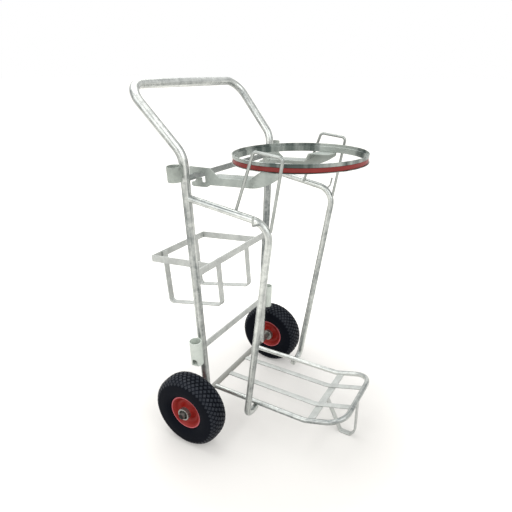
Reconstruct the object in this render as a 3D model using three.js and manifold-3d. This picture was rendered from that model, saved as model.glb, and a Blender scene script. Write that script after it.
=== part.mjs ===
// A street-cleaning trolley: a bent tube frame on two pneumatic wheels, with a ring that holds a
// litter bag open, a basket behind, and clips and cups for two brooms.
// Millimetres. X runs across the cart, Y from the nose (-) to the handle (+), Z up.
// Until the last lines the wheel axis lies on Y = 0, and the floor on Z = 0.

import * as THREE from 'three'
import { mergeVertices } from 'three/addons/utils/BufferGeometryUtils.js'
import Module from 'manifold-3d'

const wasm = await Module()
wasm.setup()

// ---------------------------------------------------------------- driving sizes

const GAP = 0.3 // clearance between two pieces that meet

// handle frame: two uprights, two leaning arms and the handle bar, bent from one tube
const FRAME_RADIUS = 14
const FRAME_WALL = 2
const UPRIGHT_FOOT_X = 197
const ARM_BEND_X = 259
const ARM_BEND_Z = 995
const ARM_BEND_RADIUS = 75
const HANDLE_X = 289
const HANDLE_Y = 167
const HANDLE_Z = 1183
const HANDLE_BEND_RADIUS = 57

// side tubes: out of the uprights, forward, down and in under the platform
const SIDE_RADIUS = 11
const SIDE_WALL = 2
const SIDE_TOP_Z = 868
const SIDE_PAST_RING = 25.5
const SIDE_FRONT_Y = 274
const SIDE_FRONT_Z = 822
const SIDE_BEND_RADIUS = 58
const SIDE_FOOT_X = 213
const SIDE_FOOT_Y = 177
const SIDE_FOOT_BEND_RADIUS = 36

// platform: a tube bent round three sides, two slats, a cross strip and the foot
const RAIL_RADIUS = 9
const RAIL_WALL = 1.8
const RAIL_X = 151.5
const RAIL_Z = 128.5
const KINK_Y = 367
const KINK_BEND_RADIUS = 60
const NOSE_X = 148.5
const NOSE_Y = 499
const NOSE_Z = 168
const NOSE_BEND_RADIUS = 62
const SLAT_X = 59
const SLAT_WIDTH = 20
const SLAT_THICKNESS = 5
const SLAT_RISE = 1.5
const STRIP_WIDTH = 26
const STRIP_THICKNESS = 5
const STRIP_PAST_KINK = 17
const FOOT_WIDTH = 20
const FOOT_THICKNESS = 5
const FOOT_REAR_Y = 446
const FOOT_KNEE_Y = 430
const FOOT_KNEE_Z = 38
const FOOT_FRONT_Y = 484
const FOOT_TOE_Z = 24
const FOOT_BEND_RADIUS = 12

// wheels and axle
const WHEEL_RADIUS = 130
const WHEEL_X = 295
const TYRE_HALF_WIDTH = 42
const TYRE_WALL = 8
// each corner: its share of the way from rim lip to tread, and of the half width
const TYRE_OUTSIDE = [
  [0.06, 0.79],
  [0.26, 0.95],
  [0.48, 1],
  [0.71, 0.965],
  [0.84, 0.88],
  [0.94, 0.64],
  [1, 0.24],
]
const TYRE_INSIDE = [
  [0.1, 0.68],
  [0.53, 1],
  [0.8, 0.82],
  [0.95, 0.35],
]
const RIM_LIP_RADIUS = 61.5
const RIM_SEAT_RADIUS = 50.8
const RIM_HALF_WIDTH = 31
const RIM_SHEET = 2.5
const RIM_DISH_OFFSET = 11
const RIM_DISH_RISE = 2
const RIM_CONE_RUN = 12
const RIM_CONE_RISE = 6
const RIM_CORNER_RUN = 4
const RIM_CORNER_RISE = 8
const RIM_WALL_LEAN = 2
const HUB_RADIUS = 21.5
const HUB_WALL = 4.5
const HUB_HALF_LENGTH = 43
const BEARING_WIDTH = 14
const BEARING_RECESS = 12
const AXLE_RADIUS = 10
const AXLE_WALL = 2.5
const AXLE_OVERHANG = 12
const COLLAR_RADIUS = 15.5
const COLLAR_LENGTH = 8
const WASHER_RADIUS = 15.5
const WASHER_THICKNESS = 2
const PIN_RADIUS = 1.8
const PIN_HALF_LENGTH = 15

// flat bars between the uprights
const BAR_THICKNESS = 5
const UPPER_BAR_Z = 926
const UPPER_BAR_HEIGHT = 18
const LOWER_BAR_Z = 331
const LOWER_BAR_HEIGHT = 24

// broom clips and cups: short tubes beside the uprights
const BROOM_TUBE_RADIUS = 21
const BROOM_TUBE_WALL = 2.5
const CLIP_Z = 951
const CLIP_HEIGHT = 44
const CLIP_STANDOFF = 6.7
const CLIP_TURN = 4
const CLIP_LUG_WIDTH = 14
const CLIP_LUG_HEIGHT = 30
const CUP_Z = 332
const CUP_HEIGHT = 91
const CUP_FLOOR = 3
const CUP_NOTCH_WIDTH = 20
const CUP_NOTCH_HEIGHT = 27
const CUP_NOTCH_TURN = 10

// bag ring with its carrier arms, both tilted up at the front. Each arm holds the upper bar between
// a hook behind its top and a ramp in front of its foot, and its sizes start at the bar's middle
const ARM_TILT = 2.7
const RING_TILT = 0.9
const RING_Y = 247
const RING_RADIUS = 209
const RING_GROOVE_DEPTH = 7
const RING_SHEET = 2
const RING_LIFT = 23 // from the middle of the upper bar
const RING_GROOVE_TOP = 16
const RING_HEIGHT = 27
const RING_BEAD = 1.5
const BAND_THICKNESS = 4
const ARM_INSET = 5.5 // under the ring's edge
const ARM_SHEET = 3
const ARM_WEB_DROP = 2
const ARM_BOTTOM = 25
const ARM_TOP_RISE = 19 // over the slot
const ARM_TOP_FALL = 3
const ARM_TOP_LENGTH = 56
const ARM_SHOULDER = 30
const ARM_HOOK_REACH = 20
const ARM_HOOK_DROP = 12
const ARM_HOOK_FLARE = 1.4
const ARM_TONGUE_REACH = 15.5
const ARM_TONGUE_BOTTOM = 32
const ARM_TONGUE_TOP = 18
const ARM_TONGUE_STEP = 13
const ARM_RAMP_FOOT_RISE = 2
const ARM_RAMP_FOOT_REACH = 3
const ARM_BLOCK_START = 7
const ARM_BLOCK_END = 24.5
const ARM_BLOCK_DROP = 3.5
const ARM_SLIT_WIDTH = 11.5
const ARM_SLIT_DROP = 17.5
const ARM_STEP_PAST_SLIT = 4
const ARM_WEB_REAR_Y = 44
const ARM_WEB_REAR_WIDTH = 58
const ARM_WEB_FRONT_WIDTH = 55
const ARM_BRACKET_REAR_Y = 206
const ARM_BRACKET_SLANT = 21
const ARM_BRACKET_FRONT_Y = 287
const ARM_TOE_LENGTH = 79
const ARM_TOE_HEIGHT = 11.5
// how far back from its corner each round starts
const ARM_HOOK_ROUND = 3
const ARM_TONGUE_BOTTOM_ROUND = 7
const ARM_TONGUE_TOP_ROUND = 4
const ARM_RAMP_ROUND = 3
const ARM_SLIT_ROUND = 3
const ARM_WEB_REAR_ROUND = 8
const ARM_WEB_FRONT_ROUND = 20

// bent rods on the side tubes
const HOOP_ROD_RADIUS = 5
const HOOP_PAST_RING = 22.5
const HOOP_REAR_Y = 157
const HOOP_TOP_Z = 1018
const HOOP_TOP_REAR_Y = 217
const HOOP_TOP_FRONT_Y = 306
const HOOP_TOP_FALL = 10
const HOOP_FRONT_Y = 272
const HOOP_FRONT_Z = 802
const HOOP_BEND_RADIUS = 12
const HOOK_ROD_RADIUS = 3
const HOOK_REACH = 48
const HOOK_LIFT = 8
const HOOK_LEAN = 4 // outward and forward
const HOOK_RISE = 27
const HOOK_BEND_RADIUS = 9
const HOOK_BEND_SHARE = 0.3 // of the way round the side tube's upper bend

// rear basket of flat bars
const BASKET_BAR_HEIGHT = 25
const BASKET_BAR_THICKNESS = 5
const BASKET_X = 153
const BASKET_FRONT_Z = 611
const BASKET_REAR_Y = 254
const BASKET_REAR_Z = 590
const BASKET_HOOP_X = 93
const BASKET_HOOP_WIDTH = 25
const BASKET_HOOP_KNEE = 9 // below the front bar
const BASKET_HOOP_KNEE_RADIUS = 40
const BASKET_HOOP_BEND_RADIUS = 14
const BASKET_HOOP_TUCK = 3 // below the top edge of the bars that carry it
const BASKET_FLOOR_REAR_Y = 228.5
const BASKET_FLOOR_REAR_Z = 395
const BASKET_FLOOR_FRONT_Y = -6
const BASKET_FLOOR_FRONT_Z = 443

// faces of the round pieces and steps of their bends
const TUBE_SIDES = 10
const BORE_SIDES = 6
const ROD_SIDES = 8
const BEND_STEPS = 5
const ROUND_STEPS = 4
const WHEEL_FACES = 28
const SMALL_RING_FACES = 16
const SHORT_TUBE_FACES = 16
const RING_FACES = 40

// ---------------------------------------------------------------- finishes

function finish(color, roughness, metalness) {
  return new THREE.MeshStandardMaterial({ color, roughness, metalness })
}

const galvanised = finish('#b9bdb6', 0.5, 0.8)
const brightSteel = finish('#c9ccca', 0.35, 0.9)
const redPaint = finish('#b3302f', 0.4, 0)
const redRubber = finish('#a3262c', 0.55, 0)
const tyreRubber = finish('#20242a', 0.75, 0)
const blackPlastic = finish('#1b1c1e', 0.5, 0)

// ---------------------------------------------------------------- solids

const LEFT = -1
const RIGHT = 1
const sides = [
  { side: LEFT, word: 'left' },
  { side: RIGHT, word: 'right' },
]
const vec = (x, y, z) => new THREE.Vector3(x, y, z)
const radians = THREE.MathUtils.degToRad

/** A solid to join and cut, from a closed geometry. */
function solidOf(geometry) {
  geometry.deleteAttribute('normal')
  geometry.deleteAttribute('uv')
  const welded = mergeVertices(geometry, 1e-4)
  const mesh = new wasm.Mesh({
    numProp: 3,
    vertProperties: new Float32Array(welded.attributes.position.array),
    triVerts: new Uint32Array(welded.index.array),
  })
  return new wasm.Manifold(mesh)
}

/** The largest part of a solid, without the slivers that a cut leaves. */
function mainPart(solid) {
  return solid.decompose().reduce((a, b) => (a.volume() > b.volume() ? a : b))
}

/** Adds a solid to a group as a named mesh. */
function addPiece(parent, name, solid, material) {
  const { vertProperties, triVerts } = mainPart(solid).getMesh()
  const geometry = new THREE.BufferGeometry()
  geometry.setAttribute('position', new THREE.BufferAttribute(new Float32Array(vertProperties), 3))
  geometry.setIndex(new THREE.BufferAttribute(new Uint32Array(triVerts), 1))
  geometry.computeVertexNormals()
  const mesh = new THREE.Mesh(geometry, material)
  mesh.name = name
  parent.add(mesh)
}

/** A path of straight runs joined by round bends. A flat bar on it keeps its width along `across`. */
class BentPath extends THREE.Curve {
  constructor(corners, bendRadii, across = null) {
    super()
    this.across = across
    const last = corners.length - 1
    const runs = corners.slice(1).map((corner, i) => corner.clone().sub(corners[i]).normalize())
    this.stations = [{ point: corners[0], tangent: runs[0] }]
    for (let i = 1; i < last; i++) {
      const into = runs[i - 1]
      const out = runs[i]
      const turn = into.angleTo(out)
      const radius = bendRadii[i - 1]
      const start = corners[i].clone().addScaledVector(into, -radius * Math.tan(turn / 2))
      const inward = out.clone().addScaledVector(into, -into.dot(out)).normalize()
      for (let step = 0; step <= BEND_STEPS; step++) {
        const angle = (turn * step) / BEND_STEPS
        const point = start.clone()
        point.addScaledVector(into, radius * Math.sin(angle))
        point.addScaledVector(inward, radius * (1 - Math.cos(angle)))
        const tangent = into.clone().multiplyScalar(Math.cos(angle))
        tangent.addScaledVector(inward, Math.sin(angle))
        this.stations.push({ point, tangent })
      }
    }
    this.stations.push({ point: corners[last], tangent: runs[last - 1] })
  }

  station(u) {
    return this.stations[Math.round(u * (this.stations.length - 1))]
  }

  getPointAt(u, target = vec()) {
    return target.copy(this.station(u).point)
  }

  getTangentAt(u, target = vec()) {
    return target.copy(this.station(u).tangent)
  }

  computeFrenetFrames(steps, closed) {
    if (!this.across) return super.computeFrenetFrames(steps, closed)
    const tangents = this.stations.map((station) => station.tangent)
    const normals = tangents.map(() => this.across)
    const binormals = tangents.map((tangent) => tangent.clone().cross(this.across))
    return { tangents, normals, binormals }
  }
}

const straight = (from, to) => new BentPath([from, to], [])

function circlePoints(radius, faces) {
  const points = []
  for (let i = 0; i < faces; i++) {
    const angle = (2 * Math.PI * (i + 0.5)) / faces
    points.push(new THREE.Vector2(radius * Math.cos(angle), radius * Math.sin(angle)))
  }
  return points
}

/** A section swept along a path. */
function sweep(shape, path) {
  const steps = path.stations.length - 1
  return solidOf(new THREE.ExtrudeGeometry(shape, { extrudePath: path, steps }))
}

function rod(path, radius, faces = TUBE_SIDES) {
  return sweep(new THREE.Shape(circlePoints(radius, faces)), path)
}

function tube(path, radius, wall) {
  const shape = new THREE.Shape(circlePoints(radius, TUBE_SIDES))
  shape.holes.push(new THREE.Path(circlePoints(radius - wall, BORE_SIDES)))
  return sweep(shape, path)
}

/** An outline of [u, v] corners, each with an optional third number: how far back its round starts. */
function outlineShape(corners) {
  const shape = new THREE.Shape()
  const last = corners.length - 1
  corners.forEach(([u, v, setback = 0], i) => {
    const corner = new THREE.Vector2(u, v)
    const before = new THREE.Vector2(...corners[i === 0 ? last : i - 1])
    const after = new THREE.Vector2(...corners[i === last ? 0 : i + 1])
    const from = before.sub(corner).setLength(setback).add(corner)
    const to = after.sub(corner).setLength(setback).add(corner)
    if (i === 0) shape.moveTo(from.x, from.y)
    else shape.lineTo(from.x, from.y)
    if (setback > 0) shape.quadraticCurveTo(u, v, to.x, to.y)
  })
  return shape
}

/** A flat bar bent in the YZ plane; its width lies along X. */
function bentBar(corners, bendRadii, width, thickness) {
  const shape = new THREE.Shape([
    new THREE.Vector2(-width / 2, -thickness / 2),
    new THREE.Vector2(width / 2, -thickness / 2),
    new THREE.Vector2(width / 2, thickness / 2),
    new THREE.Vector2(-width / 2, thickness / 2),
  ])
  return sweep(shape, new BentPath(corners, bendRadii, vec(1, 0, 0)))
}

/** A box between two corners. */
function box(low, high) {
  const size = high.clone().sub(low)
  const middle = high.clone().add(low).multiplyScalar(0.5)
  const geometry = new THREE.BoxGeometry(size.x, size.y, size.z)
  geometry.translate(middle.x, middle.y, middle.z)
  return solidOf(geometry)
}

/** A closed profile of [radius, height] points turned about an upright axis. */
function turned(profile, faces) {
  const points = [...profile, profile[0]].map(([r, h]) => new THREE.Vector2(r, h))
  const geometry = new THREE.LatheGeometry(points, faces)
  geometry.rotateX(Math.PI / 2)
  return solidOf(geometry)
}

/** A closed profile of [radius, offset] points turned about the X axis. */
function turnedAcross(profile, faces) {
  const points = [...profile, profile[0]].map(([r, h]) => new THREE.Vector2(r, h))
  const geometry = new THREE.LatheGeometry(points, faces)
  geometry.rotateZ(-Math.PI / 2)
  return solidOf(geometry)
}

/** A plain ring about the X axis. */
function ringAcross(outer, inner, from, to, faces) {
  return turnedAcross([[inner, from], [outer, from], [outer, to], [inner, to]], faces)
}

/** A shape cut from sheet of a given thickness. */
function sheet(shape, thickness) {
  return new THREE.ExtrudeGeometry(shape, { depth: thickness, bevelEnabled: false, curveSegments: ROUND_STEPS })
}

/** A shape in the YZ plane, cut from sheet that starts at x. */
function sheetAcross(shape, thickness, x) {
  const geometry = sheet(shape, thickness)
  const turn = new THREE.Matrix4().makeBasis(vec(0, 1, 0), vec(0, 0, 1), vec(1, 0, 0))
  geometry.applyMatrix4(turn)
  geometry.translate(x, 0, 0)
  return solidOf(geometry)
}

/** A shape in the XY plane, cut from sheet that starts at z. */
function sheetFlat(shape, thickness, z) {
  const geometry = sheet(shape, thickness)
  geometry.translate(0, 0, z)
  return solidOf(geometry)
}

const cart = new THREE.Group()

// ---------------------------------------------------------------- axle

const AXLE_Z = WHEEL_RADIUS
const AXLE_END_X = WHEEL_X + HUB_HALF_LENGTH + AXLE_OVERHANG
const BEARING_FACE = HUB_HALF_LENGTH - BEARING_RECESS
const PIN_OFFSET = BEARING_FACE + GAP + WASHER_THICKNESS + GAP + PIN_RADIUS

const axlePath = straight(vec(-AXLE_END_X, 0, AXLE_Z), vec(AXLE_END_X, 0, AXLE_Z))
const axleClearance = rod(axlePath, AXLE_RADIUS + GAP)

/** The split pin that keeps a wheel on the axle, or the hole drilled for it. */
function splitPin(side, spare) {
  const x = side * (WHEEL_X + PIN_OFFSET)
  const path = straight(vec(x, 0, AXLE_Z - PIN_HALF_LENGTH), vec(x, 0, AXLE_Z + PIN_HALF_LENGTH))
  return rod(path, PIN_RADIUS + spare, ROD_SIDES)
}

const axleTube = tube(axlePath, AXLE_RADIUS, AXLE_WALL)
const drilledAxle = axleTube.subtract(splitPin(LEFT, GAP)).subtract(splitPin(RIGHT, GAP))
addPiece(cart, 'axle_tube', drilledAxle, galvanised)

// ---------------------------------------------------------------- handle frame

const uprightLean = Math.atan2(ARM_BEND_X - UPRIGHT_FOOT_X, ARM_BEND_Z - AXLE_Z)

/** How far from the middle an upright's axis stands at a height. */
function uprightX(z) {
  return UPRIGHT_FOOT_X + (z - AXLE_Z) * Math.tan(uprightLean)
}

const framePath = new BentPath(
  [
    vec(-UPRIGHT_FOOT_X, 0, AXLE_Z),
    vec(-ARM_BEND_X, 0, ARM_BEND_Z),
    vec(-HANDLE_X, HANDLE_Y, HANDLE_Z),
    vec(HANDLE_X, HANDLE_Y, HANDLE_Z),
    vec(ARM_BEND_X, 0, ARM_BEND_Z),
    vec(UPRIGHT_FOOT_X, 0, AXLE_Z),
  ],
  [ARM_BEND_RADIUS, HANDLE_BEND_RADIUS, HANDLE_BEND_RADIUS, ARM_BEND_RADIUS],
)
const frameClearance = rod(framePath, FRAME_RADIUS + GAP)
const frameTube = tube(framePath, FRAME_RADIUS, FRAME_WALL)
addPiece(cart, 'handle_frame_tube', frameTube.subtract(axleClearance), galvanised)

/** A flat bar on edge from upright to upright. */
function addUprightBar(name, z, height) {
  const reach = uprightX(z)
  const half = BAR_THICKNESS / 2
  const bar = box(vec(-reach, -half, z - height / 2), vec(reach, half, z + height / 2))
  addPiece(cart, name, bar.subtract(frameClearance), galvanised)
}

addUprightBar('upper_crossbar', UPPER_BAR_Z, UPPER_BAR_HEIGHT)
addUprightBar('lower_crossbar', LOWER_BAR_Z, LOWER_BAR_HEIGHT)

// ---------------------------------------------------------------- side tubes

const STUB_Z = RAIL_Z - RAIL_RADIUS - SIDE_RADIUS - GAP
const sidePaths = {}
const sideClearance = {}
for (const { side, word } of sides) {
  const path = new BentPath(
    [
      vec(side * uprightX(SIDE_TOP_Z), 0, SIDE_TOP_Z),
      vec(side * (RING_RADIUS + SIDE_PAST_RING), -SIDE_FRONT_Y, SIDE_FRONT_Z),
      vec(side * SIDE_FOOT_X, -SIDE_FOOT_Y, STUB_Z),
      vec(side * RAIL_X, -SIDE_FOOT_Y, STUB_Z),
    ],
    [SIDE_BEND_RADIUS, SIDE_FOOT_BEND_RADIUS],
  )
  sidePaths[word] = path
  sideClearance[word] = rod(path, SIDE_RADIUS + GAP)
  const sideTube = tube(path, SIDE_RADIUS, SIDE_WALL).subtract(frameClearance)
  addPiece(cart, `side_tube_${word}`, sideTube, galvanised)
}

// ---------------------------------------------------------------- platform

const platformPath = new BentPath(
  [
    vec(-RAIL_X, 0, RAIL_Z),
    vec(-RAIL_X, -KINK_Y, RAIL_Z),
    vec(-NOSE_X, -NOSE_Y, NOSE_Z),
    vec(NOSE_X, -NOSE_Y, NOSE_Z),
    vec(RAIL_X, -KINK_Y, RAIL_Z),
    vec(RAIL_X, 0, RAIL_Z),
  ],
  [KINK_BEND_RADIUS, NOSE_BEND_RADIUS, NOSE_BEND_RADIUS, KINK_BEND_RADIUS],
)
const platformClearance = rod(platformPath, RAIL_RADIUS + GAP)
const platformTube = tube(platformPath, RAIL_RADIUS, RAIL_WALL)
addPiece(cart, 'platform_tube', platformTube.subtract(axleClearance), galvanised)

const noseSlope = Math.atan2(NOSE_Z - RAIL_Z, NOSE_Y - KINK_Y)
const SLAT_Z = RAIL_Z + SLAT_RISE
for (const { side, word } of sides) {
  const x = side * SLAT_X
  const corners = [
    vec(x, 0, SLAT_Z),
    vec(x, -KINK_Y, SLAT_Z),
    vec(x, -NOSE_Y, SLAT_Z + (NOSE_Y - KINK_Y) * Math.tan(noseSlope)),
  ]
  const slat = bentBar(corners, [KINK_BEND_RADIUS], SLAT_WIDTH, SLAT_THICKNESS)
  const cut = slat.subtract(axleClearance).subtract(platformClearance)
  addPiece(cart, `platform_slat_${word}`, cut, galvanised)
}

// the strip lies under the slats, along the slope of the nose
const stripDrop = SLAT_THICKNESS / 2 + GAP + STRIP_THICKNESS / 2
const stripY = -KINK_Y - STRIP_PAST_KINK * Math.cos(noseSlope) - stripDrop * Math.sin(noseSlope)
const stripZ = SLAT_Z + STRIP_PAST_KINK * Math.sin(noseSlope) - stripDrop * Math.cos(noseSlope)

function stripBlock(spare) {
  const geometry = new THREE.BoxGeometry(2 * RAIL_X, STRIP_WIDTH + 2 * spare, STRIP_THICKNESS + 2 * spare)
  geometry.rotateX(-noseSlope)
  geometry.translate(0, stripY, stripZ)
  return solidOf(geometry)
}

addPiece(cart, 'platform_cross_strip', stripBlock(0).subtract(platformClearance), galvanised)

const footFloor = FOOT_THICKNESS / 2
const foot = bentBar(
  [
    vec(0, stripY, stripZ),
    vec(0, -FOOT_KNEE_Y, FOOT_KNEE_Z),
    vec(0, -FOOT_REAR_Y, footFloor),
    vec(0, -FOOT_FRONT_Y, footFloor),
    vec(0, -NOSE_Y, FOOT_TOE_Z),
    vec(0, -NOSE_Y, NOSE_Z),
  ],
  [FOOT_BEND_RADIUS, FOOT_BEND_RADIUS, FOOT_BEND_RADIUS, FOOT_BEND_RADIUS],
  FOOT_WIDTH,
  FOOT_THICKNESS,
)
addPiece(cart, 'front_foot', foot.subtract(stripBlock(GAP)).subtract(platformClearance), galvanised)

// ---------------------------------------------------------------- wheels

const mirrored = (points) => points.map(([r, x]) => [r, -x])

/** A tyre, hollow and open between its beads. */
function tyre() {
  const bead = RIM_SEAT_RADIUS + GAP
  const beadFace = RIM_HALF_WIDTH - RIM_SHEET - GAP
  const depth = WHEEL_RADIUS - RIM_LIP_RADIUS
  const at = (rise, halfWidth) => (corner) => [RIM_LIP_RADIUS + corner[0] * rise, corner[1] * halfWidth]
  const outside = [
    [bead, beadFace - TYRE_WALL],
    [bead, beadFace],
    [RIM_LIP_RADIUS + GAP, beadFace],
    ...TYRE_OUTSIDE.map(at(depth, TYRE_HALF_WIDTH)),
  ]
  const inside = TYRE_INSIDE.map(at(depth - TYRE_WALL, TYRE_HALF_WIDTH - TYRE_WALL))
  const crown = outside.slice().reverse()
  const cavity = mirrored(inside).reverse()
  return turnedAcross([...mirrored(outside), ...crown, ...inside, ...cavity], WHEEL_FACES)
}

/** A dished rim half that faces +X (facing 1) or -X (facing -1). */
function rimHalf(facing) {
  const bore = HUB_RADIUS + GAP
  const wallFace = RIM_SEAT_RADIUS - RIM_SHEET
  const lipBack = RIM_HALF_WIDTH - RIM_SHEET
  const dish = RIM_DISH_OFFSET
  const profile = [
    [bore, dish + RIM_CONE_RISE],
    [bore + RIM_CONE_RUN, dish],
    [wallFace - RIM_CORNER_RUN, dish + RIM_DISH_RISE],
    [wallFace, dish + RIM_CORNER_RISE],
    [wallFace + RIM_WALL_LEAN, RIM_HALF_WIDTH],
    [RIM_LIP_RADIUS, RIM_HALF_WIDTH],
    [RIM_LIP_RADIUS, lipBack],
    [RIM_SEAT_RADIUS, lipBack],
    [RIM_SEAT_RADIUS, GAP / 2],
    [wallFace, GAP / 2],
    [wallFace, dish + RIM_DISH_RISE - RIM_SHEET],
    [bore + RIM_CONE_RUN, dish - RIM_SHEET],
    [bore, dish + RIM_CONE_RISE - RIM_SHEET],
  ]
  const ordered = facing > 0 ? profile.slice().reverse() : mirrored(profile)
  return turnedAcross(ordered, WHEEL_FACES)
}

for (const { side, word } of sides) {
  const wheel = new THREE.Group()
  wheel.position.set(side * WHEEL_X, 0, AXLE_Z)
  cart.add(wheel)

  const addRing = (name, outer, inner, near, far, material) => {
    const [from, to] = side > 0 ? [near, far] : [-far, -near]
    addPiece(wheel, `${name}_${word}`, ringAcross(outer, inner, from, to, SMALL_RING_FACES), material)
  }
  const bore = AXLE_RADIUS + GAP
  const bearing = HUB_RADIUS - HUB_WALL - GAP
  const stop = BEARING_FACE + GAP

  addPiece(wheel, `tyre_${word}`, tyre(), tyreRubber)
  addPiece(wheel, `rim_outer_${word}`, rimHalf(side), redPaint)
  addPiece(wheel, `rim_inner_${word}`, rimHalf(-side), redPaint)
  addRing('hub_tube', HUB_RADIUS, HUB_RADIUS - HUB_WALL, -HUB_HALF_LENGTH, HUB_HALF_LENGTH, brightSteel)
  addRing('bearing_outer', bearing, bore, BEARING_FACE - BEARING_WIDTH, BEARING_FACE, blackPlastic)
  addRing('bearing_inner', bearing, bore, -BEARING_FACE, BEARING_WIDTH - BEARING_FACE, blackPlastic)
  addRing('axle_collar', COLLAR_RADIUS, bore, -stop - COLLAR_LENGTH, -stop, brightSteel)
  addRing('outer_washer', WASHER_RADIUS, bore, stop, stop + WASHER_THICKNESS, brightSteel)
  addPiece(cart, `split_pin_${word}`, splitPin(side, 0), brightSteel)
}

// ---------------------------------------------------------------- broom clips and cups

/** A group whose Z axis lies on an upright's axis, at a height. */
function besideUpright(side, z) {
  const group = new THREE.Group()
  group.position.set(side * uprightX(z), 0, z)
  group.rotation.y = side * uprightLean
  cart.add(group)
  return group
}

/** A round block on a local upright axis, from one height to another. */
function post(x, y, low, high, radius, faces = SHORT_TUBE_FACES) {
  return rod(straight(vec(x, y, low), vec(x, y, high)), radius, faces)
}

const broomBore = BROOM_TUBE_RADIUS - BROOM_TUBE_WALL

for (const { side, word } of sides) {
  const reach = FRAME_RADIUS + CLIP_STANDOFF + BROOM_TUBE_RADIUS
  const x = side * reach * Math.cos(radians(CLIP_TURN))
  const y = reach * Math.sin(radians(CLIP_TURN))
  const half = CLIP_HEIGHT / 2
  const lug = box(
    vec(Math.min(0, x), y / 2 - CLIP_LUG_WIDTH / 2, -CLIP_LUG_HEIGHT / 2),
    vec(Math.max(0, x), y / 2 + CLIP_LUG_WIDTH / 2, CLIP_LUG_HEIGHT / 2),
  )
  const clearFace = (FRAME_RADIUS + GAP) / Math.cos(Math.PI / TUBE_SIDES)
  const clip = post(x, y, -half, half, BROOM_TUBE_RADIUS)
    .add(lug)
    .subtract(post(x, y, -half - GAP, half + GAP, broomBore))
    .subtract(post(0, 0, -half, half, clearFace, TUBE_SIDES))
  addPiece(besideUpright(side, CLIP_Z), `broom_clip_${word}`, clip, galvanised)
}

/** The rain notch at the foot of a cup, cut outward from its wall. */
function cupNotch(side, x) {
  const half = CUP_NOTCH_WIDTH / 2
  const shape = outlineShape([
    [-half, -GAP],
    [half, -GAP],
    [half, CUP_NOTCH_HEIGHT, half],
    [-half, CUP_NOTCH_HEIGHT, half],
  ])
  const geometry = sheet(shape, BROOM_TUBE_RADIUS)
  const turn = new THREE.Matrix4().makeBasis(vec(0, 1, 0), vec(0, 0, 1), vec(1, 0, 0))
  geometry.applyMatrix4(turn)
  geometry.translate(broomBore / 2, 0, 0)
  geometry.rotateZ(side > 0 ? -radians(CUP_NOTCH_TURN) : Math.PI + radians(CUP_NOTCH_TURN))
  geometry.translate(x, 0, -CUP_HEIGHT / 2)
  return solidOf(geometry)
}

for (const { side, word } of sides) {
  const x = side * (FRAME_RADIUS + GAP + BROOM_TUBE_RADIUS)
  const half = CUP_HEIGHT / 2
  const cup = post(x, 0, -half, half, BROOM_TUBE_RADIUS)
    .subtract(post(x, 0, CUP_FLOOR - half, half + GAP, broomBore))
    .subtract(cupNotch(side, x))
  addPiece(besideUpright(side, CUP_Z), `broom_cup_${word}`, cup, galvanised)
}

// ---------------------------------------------------------------- bag ring and its carrier

const carrier = new THREE.Group()
carrier.position.z = UPPER_BAR_Z
carrier.rotation.x = -radians(ARM_TILT)
cart.add(carrier)

const tiltedBarHalf =
  (UPPER_BAR_HEIGHT / 2) * Math.cos(radians(ARM_TILT)) + (BAR_THICKNESS / 2) * Math.sin(radians(ARM_TILT))
const slotTop = tiltedBarHalf + GAP
const hookFace = BAR_THICKNESS / 2 + GAP
const slitEnd = -ARM_BLOCK_END - ARM_SLIT_WIDTH
const armFace = RING_RADIUS - ARM_INSET
const webRoot = armFace + ARM_SHEET / 2

const ringLean = radians(ARM_TILT - RING_TILT)

/** The height on the arms of the ring's underside, at a distance in front of the upper bar. */
function ringSeat(distance) {
  return RING_LIFT - GAP - (distance - RING_Y) * Math.tan(ringLean)
}

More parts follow.
